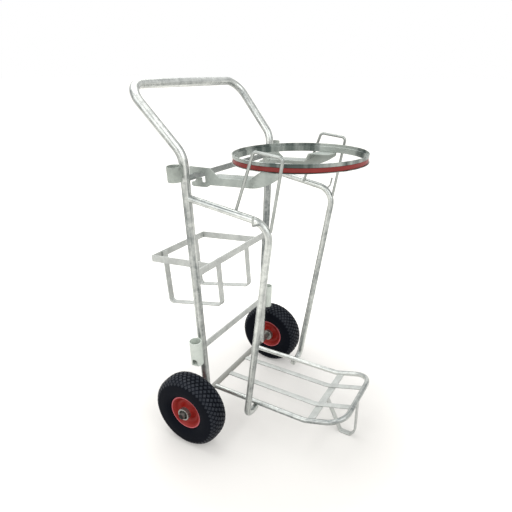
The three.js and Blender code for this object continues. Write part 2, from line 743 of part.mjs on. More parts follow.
for (const { side, word } of sides) {
  const top = slotTop + ARM_TOP_RISE
  const shoulderFoot = -ARM_TOP_LENGTH - ARM_SHOULDER
  const tongueFront = slitEnd - ARM_STEP_PAST_SLIT
  const bracketFrontTop = ringSeat(ARM_BRACKET_FRONT_Y)
  const plate = outlineShape([
    [ARM_HOOK_REACH, slotTop - ARM_HOOK_DROP, ARM_HOOK_ROUND],
    [ARM_HOOK_REACH, top, ARM_HOOK_ROUND],
    [-ARM_TOP_LENGTH, top - ARM_TOP_FALL, ARM_HOOK_ROUND],
    [shoulderFoot, -ARM_WEB_DROP],
    [-ARM_BRACKET_REAR_Y + ARM_BRACKET_SLANT, -ARM_WEB_DROP],
    [-ARM_BRACKET_REAR_Y, ringSeat(ARM_BRACKET_REAR_Y)],
    [-ARM_BRACKET_FRONT_Y, bracketFrontTop],
    [-ARM_BRACKET_FRONT_Y, bracketFrontTop - ARM_TOE_HEIGHT],
    [-ARM_BRACKET_FRONT_Y + ARM_TOE_LENGTH / 2, -ARM_BOTTOM + ARM_TOE_HEIGHT],
    [-ARM_BRACKET_FRONT_Y + ARM_TOE_LENGTH, -ARM_BOTTOM],
    [tongueFront - ARM_TONGUE_STEP, -ARM_BOTTOM],
    [tongueFront, -ARM_TONGUE_BOTTOM],
    [ARM_TONGUE_REACH, -ARM_TONGUE_BOTTOM, ARM_TONGUE_BOTTOM_ROUND],
    [ARM_TONGUE_REACH, -ARM_TONGUE_TOP, ARM_TONGUE_TOP_ROUND],
    [ARM_RAMP_FOOT_REACH, ARM_RAMP_FOOT_RISE - ARM_TONGUE_TOP, ARM_RAMP_ROUND],
    [-ARM_BLOCK_START, -ARM_BLOCK_DROP, ARM_RAMP_ROUND],
    [-ARM_BLOCK_END, -ARM_BLOCK_DROP, ARM_SLIT_ROUND],
    [-ARM_BLOCK_END, -ARM_SLIT_DROP, ARM_SLIT_ROUND],
    [slitEnd, -ARM_SLIT_DROP, ARM_SLIT_ROUND],
    [slitEnd, slotTop, ARM_SLIT_ROUND],
    [hookFace, slotTop],
    [hookFace + ARM_HOOK_FLARE, slotTop - ARM_HOOK_DROP, ARM_HOOK_ROUND],
  ])
  const web = outlineShape([
    [side * webRoot, -ARM_WEB_REAR_Y],
    [side * (webRoot - ARM_WEB_REAR_WIDTH), -ARM_WEB_REAR_Y, ARM_WEB_REAR_ROUND],
    [side * (webRoot - ARM_WEB_FRONT_WIDTH), -ARM_BRACKET_REAR_Y],
    [side * (webRoot - ARM_WEB_FRONT_WIDTH), -ARM_BRACKET_FRONT_Y, ARM_WEB_FRONT_ROUND],
    [side * webRoot, -ARM_BRACKET_FRONT_Y],
  ])
  const sidePlate = sheetAcross(plate, ARM_SHEET, side > 0 ? armFace : -armFace - ARM_SHEET)
  const arm = sidePlate.add(sheetFlat(web, ARM_SHEET, -ARM_WEB_DROP - ARM_SHEET))
  addPiece(carrier, `carrier_arm_${word}`, arm, galvanised)
}

// the middle of the ring's underside is this group's origin
const ring = new THREE.Group()
ring.position.set(0, -RING_Y, RING_LIFT)
ring.rotation.x = ringLean
carrier.add(ring)

const wallRadius = RING_RADIUS - RING_BEAD
const grooveRadius = RING_RADIUS - RING_GROOVE_DEPTH
const ringProfile = [
  [grooveRadius - RING_SHEET, 0],
  [RING_RADIUS, 0],
  [RING_RADIUS, RING_SHEET],
  [grooveRadius, RING_SHEET],
  [grooveRadius, RING_GROOVE_TOP],
  [wallRadius, RING_GROOVE_TOP],
  [wallRadius, RING_HEIGHT - 2 * RING_BEAD],
  [RING_RADIUS, RING_HEIGHT - RING_BEAD],
  [wallRadius, RING_HEIGHT],
  [wallRadius - RING_SHEET, RING_HEIGHT],
  [wallRadius - RING_SHEET, RING_GROOVE_TOP + RING_SHEET],
  [grooveRadius - RING_SHEET, RING_GROOVE_TOP + RING_SHEET],
]
addPiece(ring, 'bag_ring', turned(ringProfile, RING_FACES), galvanised)

const bandProfile = [
  [grooveRadius + GAP, RING_SHEET + GAP],
  [grooveRadius + BAND_THICKNESS, RING_SHEET + GAP],
  [grooveRadius + BAND_THICKNESS, RING_GROOVE_TOP - GAP],
  [grooveRadius + GAP, RING_GROOVE_TOP - GAP],
]
addPiece(ring, 'rubber_band', turned(bandProfile, RING_FACES), redRubber)

// ---------------------------------------------------------------- wire hoops and tool hooks

/** The point that lies a share of the way round a path's first bend. */
function alongFirstBend(path, share) {
  const place = 1 + share * BEND_STEPS
  const before = path.stations[Math.floor(place)].point
  const after = path.stations[Math.ceil(place)].point
  return before.clone().lerp(after, place % 1)
}

for (const { side, word } of sides) {
  const fall = (SIDE_TOP_Z - SIDE_FRONT_Z) / SIDE_FRONT_Y
  const x = side * (RING_RADIUS + HOOP_PAST_RING)
  const hoop = new BentPath(
    [
      vec(x, -HOOP_REAR_Y, SIDE_TOP_Z - fall * HOOP_REAR_Y),
      vec(x, -HOOP_TOP_REAR_Y, HOOP_TOP_Z),
      vec(x, -HOOP_TOP_FRONT_Y, HOOP_TOP_Z - HOOP_TOP_FALL),
      vec(x, -HOOP_FRONT_Y, HOOP_FRONT_Z),
    ],
    [HOOP_BEND_RADIUS, HOOP_BEND_RADIUS],
  )
  const hoopRod = rod(hoop, HOOP_ROD_RADIUS, ROD_SIDES).subtract(sideClearance[word])
  addPiece(cart, `wire_hoop_${word}`, hoopRod, galvanised)

  const root = alongFirstBend(sidePaths[word], HOOK_BEND_SHARE)
  const corner = root.clone().add(vec(side * HOOK_REACH, 0, HOOK_LIFT))
  const tip = corner.clone().add(vec(side * HOOK_LEAN, -HOOK_LEAN, HOOK_RISE))
  const hook = new BentPath([root, corner, tip], [HOOK_BEND_RADIUS])
  const hookRod = rod(hook, HOOK_ROD_RADIUS, ROD_SIDES).subtract(sideClearance[word])
  addPiece(cart, `tool_hook_${word}`, hookRod, galvanised)
}

// ---------------------------------------------------------------- rear basket

addUprightBar('basket_front_bar', BASKET_FRONT_Z, BASKET_BAR_HEIGHT)

const barHalf = BASKET_BAR_HEIGHT / 2
const barThick = BASKET_BAR_THICKNESS
const frontFace = BAR_THICKNESS / 2 + GAP
const rearFace = BASKET_REAR_Y - barThick - GAP
const rearBar = box(
  vec(-BASKET_X - barThick / 2, BASKET_REAR_Y - barThick, BASKET_REAR_Z - barHalf),
  vec(BASKET_X + barThick / 2, BASKET_REAR_Y, BASKET_REAR_Z + barHalf),
)
addPiece(cart, 'basket_rear_bar', rearBar, galvanised)

for (const { side, word } of sides) {
  const outline = outlineShape([
    [frontFace, BASKET_FRONT_Z - barHalf],
    [rearFace, BASKET_REAR_Z - barHalf],
    [rearFace, BASKET_REAR_Z + barHalf],
    [frontFace, BASKET_FRONT_Z + barHalf],
  ])
  const sideBar = sheetAcross(outline, barThick, side * BASKET_X - barThick / 2)
  addPiece(cart, `basket_side_bar_${word}`, sideBar, galvanised)

  const x = side * BASKET_HOOP_X
  const hoop = bentBar(
    [
      vec(x, frontFace + barThick / 2, BASKET_FRONT_Z + barHalf - BASKET_HOOP_TUCK),
      vec(x, frontFace + barThick / 2, BASKET_FRONT_Z - barHalf - BASKET_HOOP_KNEE),
      vec(x, BASKET_FLOOR_FRONT_Y, BASKET_FLOOR_FRONT_Z),
      vec(x, BASKET_FLOOR_REAR_Y, BASKET_FLOOR_REAR_Z),
      vec(x, rearFace - barThick / 2, BASKET_REAR_Z + barHalf - BASKET_HOOP_TUCK),
    ],
    [BASKET_HOOP_KNEE_RADIUS, BASKET_HOOP_BEND_RADIUS, BASKET_HOOP_BEND_RADIUS],
    BASKET_HOOP_WIDTH,
    barThick,
  )
  addPiece(cart, `basket_hoop_${word}`, hoop, galvanised)
}

// ---------------------------------------------------------------- placing

// the origin is on the floor, in the middle of the cart's length and width
cart.updateMatrixWorld(true)
const extent = new THREE.Box3().setFromObject(cart, true)
cart.position.set(0, -(extent.min.y + extent.max.y) / 2, -extent.min.z)

export default cart
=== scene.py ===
"""Looks of a street-cleaning trolley: galvanised tubes, red-rimmed wheels, a ring for a bag."""

import math

import bmesh
import bpy
from mathutils import Matrix, Vector


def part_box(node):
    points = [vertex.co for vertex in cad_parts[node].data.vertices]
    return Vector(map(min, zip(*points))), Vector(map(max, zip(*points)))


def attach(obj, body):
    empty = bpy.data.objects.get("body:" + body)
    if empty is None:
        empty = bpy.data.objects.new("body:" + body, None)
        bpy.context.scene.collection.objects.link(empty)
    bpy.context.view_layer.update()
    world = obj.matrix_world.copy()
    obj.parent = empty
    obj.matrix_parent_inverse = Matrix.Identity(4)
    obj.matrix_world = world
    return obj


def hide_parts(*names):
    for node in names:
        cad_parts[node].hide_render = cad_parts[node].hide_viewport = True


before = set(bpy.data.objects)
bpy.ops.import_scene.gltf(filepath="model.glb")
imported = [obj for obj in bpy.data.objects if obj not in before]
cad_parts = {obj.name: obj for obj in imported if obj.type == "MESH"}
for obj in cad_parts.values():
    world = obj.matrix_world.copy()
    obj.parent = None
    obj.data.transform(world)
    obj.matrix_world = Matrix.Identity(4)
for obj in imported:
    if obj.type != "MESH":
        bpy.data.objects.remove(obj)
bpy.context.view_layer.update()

# ---------------------------------------------------------------- handle frame
# One round steel tube, bent cold into two uprights, two leaning arms and the handle bar, and
# hot-dip galvanised after welding. Its ends stand on the axle.

axle_low, axle_high = (Vector(corner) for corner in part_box("axle_tube"))
axle = (axle_low + axle_high) / 2
X_AXIS = Vector((1, 0, 0))
Y_AXIS = Vector((0, 1, 0))

FRAME_RADIUS = 0.014
UPRIGHT_FOOT_X = 0.197
ARM_BEND_X = 0.259
ARM_BEND_Z = 0.995
ARM_BEND_RADIUS = 0.075
HANDLE_X = 0.289
HANDLE_Y = 0.167
HANDLE_Z = 1.183
HANDLE_BEND_RADIUS = 0.057
TUBE_SIDES = 32
DEGREES_A_STEP = 6
FEWEST_STEPS = 3
NEARLY_ACROSS = 0.9
SMOOTH_BELOW = math.radians(35)
AROUND = "around the tube"

TUBE_DARK = (0.14, 0.155, 0.155)
TUBE_LIGHT = (0.63, 0.65, 0.62)
TUBE_ROUGHNESS = 0.34
# painted shade: the frame tube's colour is darker between these two heights, along its uprights
SHADED_HEIGHTS = (0.36, 0.88)
SHADE_FADE = 0.12
SHADE_SHARE = 0.22
ZINC_METAL = 0.75
# scales count features in a metre, and shares say how far each feature moves the zinc's tone
CRYSTAL_SCALE = 110.0
CRYSTAL_SHARE = 0.25
CRYSTAL_SHEEN = 0.08
CLOUD_SCALE = 22.0
CLOUD_DETAIL = 3.0
CLOUD_SHARE = 1.3
CLOUD_SHARE_STREAKED = 0.8
ZINC_TONE_DROP = 0.28
# painted reflections: light and dark streaks drawn into a tube's colour along its length
STREAK_SCALE_AROUND = 1.1
STREAK_SCALE_ALONG = 2.6
STREAK_DETAIL = 3.0
STREAK_MIDDLE = 0.47
STREAK_SHARE = 2.6
STREAK_LIFT = 0.25
GRAIN_SCALE = 60.0
GRAIN_STRENGTH = 0.06
GRAIN_DEPTH = 0.0006


class Shade:
    """A socket in a material's node tree that Python's operators work on."""

    def __init__(self, tree, socket=None):
        self.tree = tree
        self.socket = socket

    def node(self, kind, settings=None, inputs=None, output=0):
        """A new node in the same tree, as a Shade of one of its outputs."""
        made = self.tree.nodes.new(kind)
        for key, value in (settings or {}).items():
            setattr(made, key, value)
        for key, value in (inputs or {}).items():
            if isinstance(value, Shade):
                self.tree.links.new(value.socket, made.inputs[key])
            else:
                made.inputs[key].default_value = value
        return Shade(self.tree, made.outputs[output] if len(made.outputs) else None)

    def calculate(self, operation, first, second):
        return self.node("ShaderNodeMath", {"operation": operation}, {0: first, 1: second})

    def __add__(self, other):
        return self.calculate("ADD", self, other)

    def __radd__(self, other):
        return self.calculate("ADD", other, self)

    def __sub__(self, other):
        return self.calculate("SUBTRACT", self, other)

    def __rsub__(self, other):
        return self.calculate("SUBTRACT", other, self)

    def __mul__(self, other):
        return self.calculate("MULTIPLY", self, other)

    def __rmul__(self, other):
        return self.calculate("MULTIPLY", other, self)


def new_material(name):
    """An empty material and a Shade to build its nodes from."""
    material = bpy.data.materials.new(name)
    material.use_nodes = True
    material.node_tree.nodes.clear()
    return material, Shade(material.node_tree)


def mixed(shade, factor, low, high):
    """Two colours, written out or worked out by nodes, mixed by a factor."""
    low, high = (tone if isinstance(tone, Shade) else (*tone, 1) for tone in (low, high))
    return shade.node("ShaderNodeMix", {"data_type": "RGBA"}, {0: factor, 6: low, 7: high}, 2)


def noise(shade, place, scale, detail=2.0):
    inputs = {"Vector": place, "Scale": scale, "Detail": detail}
    return shade.node("ShaderNodeTexNoise", None, inputs)


def scaled(shade, vector, factor):
    inputs = {"Vector": vector, "Scale": factor}
    return shade.node("ShaderNodeVectorMath", {"operation": "SCALE"}, inputs)


def galvanised(name, dark, light, roughness, metal=ZINC_METAL, reflection_streaks=0.0, painted_shade=None):
    """Zinc over steel: crystals, clouds, painted reflections streaked along a tube, and painted
    shade between two heights.
    """
    material, shade = new_material(name)
    place = shade.node("ShaderNodeTexCoord", output="Object")
    cells = {"Vector": place, "Scale": CRYSTAL_SCALE}
    crystals = shade.node("ShaderNodeTexVoronoi", None, cells, "Color")
    crystal = shade.node("ShaderNodeSeparateColor", None, {0: crystals})
    clouds = noise(shade, place, CLOUD_SCALE, CLOUD_DETAIL)
    cloud_share = CLOUD_SHARE + (CLOUD_SHARE_STREAKED - CLOUD_SHARE) * reflection_streaks
    tone = crystal * CRYSTAL_SHARE + clouds * cloud_share - ZINC_TONE_DROP
    # painted reflections: streaks along the tube, which also lighten it on the whole
    if reflection_streaks:
        around = shade.node("ShaderNodeAttribute", {"attribute_name": AROUND}, output="Vector")
        parts = {
            0: scaled(shade, around, STREAK_SCALE_AROUND),
            1: scaled(shade, place, STREAK_SCALE_ALONG),
        }
        wrapped = shade.node("ShaderNodeVectorMath", {"operation": "ADD"}, parts)
        reflection_streak = noise(shade, wrapped, 1.0, STREAK_DETAIL)
        tone = tone + (reflection_streak - STREAK_MIDDLE) * STREAK_SHARE * reflection_streaks + STREAK_LIFT * reflection_streaks
    # painted shade: the colour is darker between two heights
    if painted_shade:
        height = shade.node("ShaderNodeSeparateXYZ", None, {0: place}, "Z")
        above = [shade.node("ShaderNodeMapRange", None, {
            "Value": height,
            "From Min": level,
            "From Max": level + SHADE_FADE,
        }) for level in painted_shade]
        tone = tone - (above[0] - above[1]) * SHADE_SHARE
    surface = shade.node("ShaderNodeBump", None, {
        "Strength": GRAIN_STRENGTH,
        "Distance": GRAIN_DEPTH,
        "Height": noise(shade, place, GRAIN_SCALE),
    })
    shader = shade.node("ShaderNodeBsdfPrincipled", None, {
        "Base Color": mixed(shade, tone, dark, light),
        "Metallic": metal,
        "Roughness": roughness + (crystal - 0.5) * CRYSTAL_SHEEN,
        "Normal": surface,
    })
    shade.node("ShaderNodeOutputMaterial", None, {0: shader})
    return material


def at(x, y, z):
    """A place given across, from the wheel axis, and above the floor."""
    return Vector((x, axle.y + y, z))


def add_piece(name, bm, finish, body, nodes=()):
    """Closes a bmesh into a finished piece that rides on a body and stands for CAD nodes."""
    bmesh.ops.recalc_face_normals(bm, faces=bm.faces)
    mesh = bpy.data.meshes.new(name)
    bm.to_mesh(mesh)
    bm.free()
    mesh.shade_smooth()
    mesh.set_sharp_from_angle(angle=SMOOTH_BELOW)
    mesh.materials.append(finish)
    piece = bpy.data.objects.new(name, mesh)
    bpy.context.scene.collection.objects.link(piece)
    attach(piece, body)
    if nodes:
        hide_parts(*nodes)
    return piece


def pulled(bm, section, corners, bend_radii, across):
    """Pulls a flat section along straight runs and round bends, as a bender forms tube or bar."""
    runs = [(after - before).normalized() for before, after in zip(corners, corners[1:])]
    side = (across - runs[0] * across.dot(runs[0])).normalized()
    turn = Matrix((side, runs[0].cross(side), runs[0])).transposed().to_4x4()
    bmesh.ops.transform(bm, matrix=Matrix.Translation(corners[0]) @ turn, verts=section.verts)
    edges = section.edges[:]
    here = corners[0]
    for i, run in enumerate(runs):
        angle = run.angle(runs[i + 1]) if i < len(bend_radii) else 0
        setback = bend_radii[i] * math.tan(angle / 2) if angle else 0
        start = corners[i + 1] - run * setback
        edges = extruded(bm, edges, start - here)
        here = start
        if angle:
            inward = (runs[i + 1] - run * run.dot(runs[i + 1])).normalized()
            centre = here + inward * bend_radii[i]
            spun = bmesh.ops.spin(
                bm,
                geom=edges + ends_of(edges),
                cent=centre,
                axis=run.cross(inward),
                angle=angle,
                steps=max(FEWEST_STEPS, round(math.degrees(angle) / DEGREES_A_STEP)),
            )
            edges = [part for part in spun["geom_last"] if isinstance(part, bmesh.types.BMEdge)]
            here = corners[i + 1] + runs[i + 1] * setback
    return bmesh.ops.contextual_create(bm, geom=edges)["faces"][0]


def ends_of(edges):
    """The corners that some edges share, each once."""
    return list({vert for edge in edges for vert in edge.verts})


def extruded(bm, edges, step):
    """The far edges after pulling some edges by a step."""
    pulled_parts = bmesh.ops.extrude_edge_only(bm, edges=edges)["geom"]
    verts = [part for part in pulled_parts if isinstance(part, bmesh.types.BMVert)]
    bmesh.ops.translate(bm, vec=step, verts=verts)
    moved = set(verts)
    return [
        part
        for part in pulled_parts
        if isinstance(part, bmesh.types.BMEdge) and all(vert in moved for vert in part.verts)
    ]


def round_section(bm, radius, sides=TUBE_SIDES):
    """A disc whose edge remembers each point's direction from the middle."""
    around = bm.verts.layers.float_vector.new(AROUND)
    circle = bmesh.ops.create_circle(bm, cap_ends=True, segments=sides, radius=radius)
    for vert in circle["verts"]:
        vert[around] = vert.co / radius
    return circle["verts"][0].link_faces[0]


def bent_tube(corners, bend_radii, radius, sides=TUBE_SIDES):
    """A round tube or rod bent at its corners, with flat ends."""
    bm = bmesh.new()
    first_run = (corners[1] - corners[0]).normalized()
    across = X_AXIS if abs(first_run.x) < NEARLY_ACROSS else Y_AXIS
    pulled(bm, round_section(bm, radius, sides), corners, bend_radii, across)
    return bm


# both tube finishes carry painted reflections as streaks along the tube
tube_zinc = galvanised("galvanised tube", TUBE_DARK, TUBE_LIGHT, TUBE_ROUGHNESS, reflection_streaks=1.0)
# painted shade darkens the frame tube between two heights, on its uprights
frame_zinc = galvanised(
    "galvanised frame tube", TUBE_DARK, TUBE_LIGHT, TUBE_ROUGHNESS, reflection_streaks=1.0, painted_shade=SHADED_HEIGHTS
)

handle_frame = bent_tube(
    [
        at(-UPRIGHT_FOOT_X, 0, axle.z),
        at(-ARM_BEND_X, 0, ARM_BEND_Z),
        at(-HANDLE_X, HANDLE_Y, HANDLE_Z),
        at(HANDLE_X, HANDLE_Y, HANDLE_Z),
        at(ARM_BEND_X, 0, ARM_BEND_Z),
        at(UPRIGHT_FOOT_X, 0, axle.z),
    ],
    [ARM_BEND_RADIUS, HANDLE_BEND_RADIUS, HANDLE_BEND_RADIUS, ARM_BEND_RADIUS],
    FRAME_RADIUS,
)
add_piece(
    "handle_frame", handle_frame, frame_zinc, "root", ["handle_frame_tube"]
)

# ---------------------------------------------------------------- side tubes
# Thinner galvanised tube: from each upright forward over the platform, down, and in under the
# rail. The upper ends are welded to the uprights.

LEFT = -1
RIGHT = 1
SIDES = {"left": LEFT, "right": RIGHT}

SIDE_RADIUS = 0.011
SIDE_TOP_Z = 0.868
SIDE_FRONT_X = 0.2345
SIDE_FRONT_Y = 0.274
SIDE_FRONT_Z = 0.822
SIDE_BEND_RADIUS = 0.058
SIDE_FOOT_X = 0.213
SIDE_FOOT_Y = 0.177
SIDE_FOOT_BEND_RADIUS = 0.036
RAIL_X = 0.1515
RAIL_Z = 0.1285
RAIL_RADIUS = 0.009
TOUCH = 0.0003


def upright_x(z):
    """How far from the middle of the cart an upright's axis stands at a height."""
    share = (z - axle.z) / (ARM_BEND_Z - axle.z)
    return UPRIGHT_FOOT_X + share * (ARM_BEND_X - UPRIGHT_FOOT_X)


STUB_Z = RAIL_Z - RAIL_RADIUS - SIDE_RADIUS - TOUCH
for word, side in SIDES.items():
    side_tube = bent_tube(
        [
            at(side * upright_x(SIDE_TOP_Z), -FRAME_RADIUS / 2, SIDE_TOP_Z),
            at(side * SIDE_FRONT_X, -SIDE_FRONT_Y, SIDE_FRONT_Z),
            at(side * SIDE_FOOT_X, -SIDE_FOOT_Y, STUB_Z),
            at(side * RAIL_X, -SIDE_FOOT_Y, STUB_Z),
        ],
        [SIDE_BEND_RADIUS, SIDE_FOOT_BEND_RADIUS],
        SIDE_RADIUS,
    )
    add_piece(
        f"side_{word}", side_tube, tube_zinc, "root", [f"side_tube_{word}"]
    )

# ---------------------------------------------------------------- platform
# A tube bent round three sides with a raised nose, two flat slats and a cross strip welded in,
# and a flat bar bent to a foot under the nose. The bag or a bin stands on it.

KINK_Y = 0.367
KINK_BEND_RADIUS = 0.060
NOSE_X = 0.1485
NOSE_Y = 0.499
NOSE_Z = 0.168
NOSE_BEND_RADIUS = 0.062
SLAT_X = 0.059
SLAT_WIDTH = 0.020
BAR_THICKNESS = 0.005
SLAT_LIFT = 0.0015
SLAT_Z = RAIL_Z + SLAT_LIFT
STRIP_PAST_KINK = 0.017
FOOT_WIDTH = 0.020
FOOT_REAR_Y = 0.446
FOOT_KNEE_Y = 0.430
FOOT_KNEE_Z = 0.038
FOOT_FRONT_Y = 0.484
FOOT_TOE_Z = 0.024
FOOT_BEND_RADIUS = 0.012
EDGE_ROUND = 0.0009
SHEET_ROUND = EDGE_ROUND * 0.7
PLATE_CORNERS = math.radians(40)
FLAT_BELOW = math.radians(1)
MERGE_WITHIN = 1e-6

BAR_DARK = (0.36, 0.375, 0.36)
BAR_LIGHT = (0.57, 0.59, 0.565)


def flat_section(bm, width, thickness):
    """A rectangle with small round corners, its width along X."""
    grid = bmesh.ops.create_grid(bm, x_segments=1, y_segments=1, size=0.5)
    bmesh.ops.scale(bm, vec=(width, thickness, 1), verts=grid["verts"])
    bmesh.ops.bevel(
        bm,
        geom=grid["verts"],
        offset=EDGE_ROUND,
        segments=3,
        profile=0.5,
        affect="VERTICES",
        material=-1,
    )
    return max(bm.faces, key=lambda face: face.calc_area())


def bent_bar(corners, bend_radii, width, thickness):
    """A flat bar bent in the upright plane along the cart, its width across."""
    bm = bmesh.new()
    pulled(bm, flat_section(bm, width, thickness), corners, bend_radii, X_AXIS)
    return bm


def rounded(piece, width, sharper_than=math.radians(30)):
    """Rounds a piece's edges, where its faces meet at more than an angle."""
    edges = piece.modifiers.new("rounded edges", "BEVEL")
    edges.width = width
    edges.segments = 2
    edges.limit_method = "ANGLE"
    edges.angle_limit = sharper_than
    edges.harden_normals = True


def softened(node, name, finish, body):
    """A copy of a CAD node's sharp plates, with rolled edges."""
    bm = bmesh.new()
    bm.from_mesh(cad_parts[node].data)
    bmesh.ops.remove_doubles(bm, verts=bm.verts, dist=MERGE_WITHIN)
    bmesh.ops.dissolve_limit(bm, angle_limit=FLAT_BELOW, verts=bm.verts, edges=bm.edges)
    rounded(add_piece(name, bm, finish, body, [node]), SHEET_ROUND, PLATE_CORNERS)


bar_zinc = galvanised("galvanised bar", BAR_DARK, BAR_LIGHT, roughness=0.45, metal=0.3)

platform = bent_tube(
    [
        at(-RAIL_X, 0, RAIL_Z),
        at(-RAIL_X, -KINK_Y, RAIL_Z),
        at(-NOSE_X, -NOSE_Y, NOSE_Z),
        at(NOSE_X, -NOSE_Y, NOSE_Z),
        at(RAIL_X, -KINK_Y, RAIL_Z),
        at(RAIL_X, 0, RAIL_Z),
    ],
    [KINK_BEND_RADIUS, NOSE_BEND_RADIUS, NOSE_BEND_RADIUS, KINK_BEND_RADIUS],
    RAIL_RADIUS,
)
add_piece("platform_rail", platform, tube_zinc, "root", ["platform_tube"])

nose_slope = (NOSE_Z - RAIL_Z) / (NOSE_Y - KINK_Y)
nose_angle = math.atan(nose_slope)
for word, side in SIDES.items():
    slat = bent_bar(
        [
            at(side * SLAT_X, 0, SLAT_Z),
            at(side * SLAT_X, -KINK_Y, SLAT_Z),
            at(side * SLAT_X, -NOSE_Y, SLAT_Z + (NOSE_Y - KINK_Y) * nose_slope),
        ],
        [KINK_BEND_RADIUS],
        SLAT_WIDTH,
        BAR_THICKNESS,
    )
    add_piece(f"slat_{word}", slat, bar_zinc, "root", [f"platform_slat_{word}"])

softened("platform_cross_strip", "cross_strip", bar_zinc, "root")

strip_drop = BAR_THICKNESS + TOUCH
strip_y = KINK_Y + STRIP_PAST_KINK * math.cos(nose_angle) + strip_drop * math.sin(nose_angle)
strip_z = SLAT_Z + STRIP_PAST_KINK * math.sin(nose_angle) - strip_drop * math.cos(nose_angle)
foot = bent_bar(
    [
        at(0, -strip_y, strip_z),
        at(0, -FOOT_KNEE_Y, FOOT_KNEE_Z),
        at(0, -FOOT_REAR_Y, BAR_THICKNESS / 2),
        at(0, -FOOT_FRONT_Y, BAR_THICKNESS / 2),
        at(0, -NOSE_Y, FOOT_TOE_Z),
        at(0, -NOSE_Y, NOSE_Z),
    ],
    [FOOT_BEND_RADIUS] * 4,
    FOOT_WIDTH,
    BAR_THICKNESS,
)
add_piece("foot", foot, bar_zinc, "root", ["front_foot"])

# ---------------------------------------------------------------- flat crossbars
# Flat bars set on edge and welded between the uprights. The upper one carries the bag ring's
# arms, and the third is the front of the basket.

# painted shade: the upper bar's zinc is a darker copy of the other bars', for the shade of the
# uprights and carrier arms round it
UPPER_BAR_DARK = (0.12, 0.135, 0.135)
UPPER_BAR_LIGHT = (0.34, 0.365, 0.35)

shaded_bar_zinc = galvanised(
    "shaded galvanised bar", UPPER_BAR_DARK, UPPER_BAR_LIGHT, roughness=0.42, metal=0.4
)
CROSSBARS = {
    "upper_crossbar": shaded_bar_zinc,
    "lower_crossbar": bar_zinc,
    "basket_front_bar": bar_zinc,
}
for name, finish in CROSSBARS.items():
    softened(name, f"{name}_finished", finish, "root")

# ---------------------------------------------------------------- axle
# A zinc-plated tube through both wheels, open at its ends, with a collar inside each hub and a
# washer and a split pin outside.

AXLE_RADIUS = 0.010
AXLE_WALL = 0.0025
AXLE_BORE_DEPTH = 0.05
PIN_RADIUS = 0.0018
PIN_SIDES = 12
PLATE_GRAIN_SCALE = 300.0
PLATE_GRAIN_SHARE = 0.12
PLATE_METAL = 0.9
PLATE_COLOUR = (0.30, 0.30, 0.28)


def plated(name, colour, roughness):
    """Bright zinc plate with a fine grain in its gloss."""
    material, shade = new_material(name)
    place = shade.node("ShaderNodeTexCoord", output="Object")
    grain = noise(shade, place, PLATE_GRAIN_SCALE)
    shader = shade.node("ShaderNodeBsdfPrincipled", None, {
        "Base Color": (*colour, 1),
        "Metallic": PLATE_METAL,
        "Roughness": roughness + grain * PLATE_GRAIN_SHARE,
    })
    shade.node("ShaderNodeOutputMaterial", None, {0: shader})
    return material


def open_end(bm, face, wall, depth):
    """Turns a tube's closed end into a wall round a bore."""
    bmesh.ops.inset_individual(bm, faces=[face], thickness=wall)
    bmesh.ops.translate(bm, vec=-face.normal * depth, verts=face.verts)


bright_zinc = plated("zinc plate", PLATE_COLOUR, roughness=0.34)

bm = bmesh.new()
ends = [at(axle_low.x, 0, axle.z), at(axle_high.x, 0, axle.z)]
first_end = round_section(bm, AXLE_RADIUS)
far_end = pulled(bm, first_end, ends, [], Y_AXIS)
bmesh.ops.recalc_face_normals(bm, faces=bm.faces)
open_end(bm, first_end, AXLE_WALL, AXLE_BORE_DEPTH)
open_end(bm, far_end, AXLE_WALL, AXLE_BORE_DEPTH)
add_piece("axle", bm, bright_zinc, "root", ["axle_tube"])

for word in SIDES:
    low, high = (Vector(corner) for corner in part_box(f"split_pin_{word}"))
    middle = (low + high) / 2
    pin_ends = [Vector((middle.x, middle.y, z)) for z in (low.z, high.z)]
    pin = bent_tube(pin_ends, [], PIN_RADIUS, PIN_SIDES)
    add_piece(f"pin_{word}", pin, bright_zinc, "root", [f"split_pin_{word}"])

# ---------------------------------------------------------------- wheels
# Air-filled tyres of black rubber, with rows of diamond blocks, on two pressed red halves round
# a plated hub tube with a plastic bush at each end.

WHEEL_RADIUS = 0.130
WHEEL_X = 0.295
TYRE_HALF_WIDTH = 0.042
TYRE_WIDEST_RADIUS = 0.094
TYRE_FOLD_DEPTH = 0.040
TYRE_SQUARENESS = 2.8
TREAD_DEPTH = 0.0038
TREAD_ROWS = (0, 11.5, 27, 44, 60)
TREAD_TILT_STEP = 2
TREAD_BLOCKS = 46
BLOCK_SIZE = 0.0112
BLOCK_TAPER = 0.78
SKIN_DEGREES = range(5, 136, 5)
SIDEWALL_START = 12
SIDE_GROOVE_RADII = (0.070, 0.0985)
SIDE_GROOVE_DEPTH = 0.0007
RIM_LIP_RADIUS = 0.0615
RIM_LIP_START = 0.0562
RIM_LIP_CREST = 0.0580
RIM_SEAT_RADIUS = 0.0508
RIM_HALF_WIDTH = 0.031
RIM_SHEET = 0.0025
HUB_RADIUS = 0.0215
HUB_WALL = 0.0045
COLLAR_RADIUS = 0.0155
HUB_STEPS = 48
SMALL_ROUND = 0.0006
# the pressed half's outer face, from the hub out to the rolled lip: radius and offset
RIM_FACE = (
    (0.0218, 0.0290),
    (0.0232, 0.0282),
    (0.0262, 0.0218),
    (0.0300, 0.0158),
    (0.0345, 0.0126),
    (0.0400, 0.0126),
    (0.0445, 0.0155),
    (0.0475, 0.0195),
    (0.0505, 0.0243),
    (0.0533, 0.0268),
    (0.0552, 0.0280),
    (0.0565, 0.0299),
    (0.0580, 0.0309),
    (0.0596, 0.0309),
    (0.0608, 0.0301),
    (0.0615, 0.0285),
)
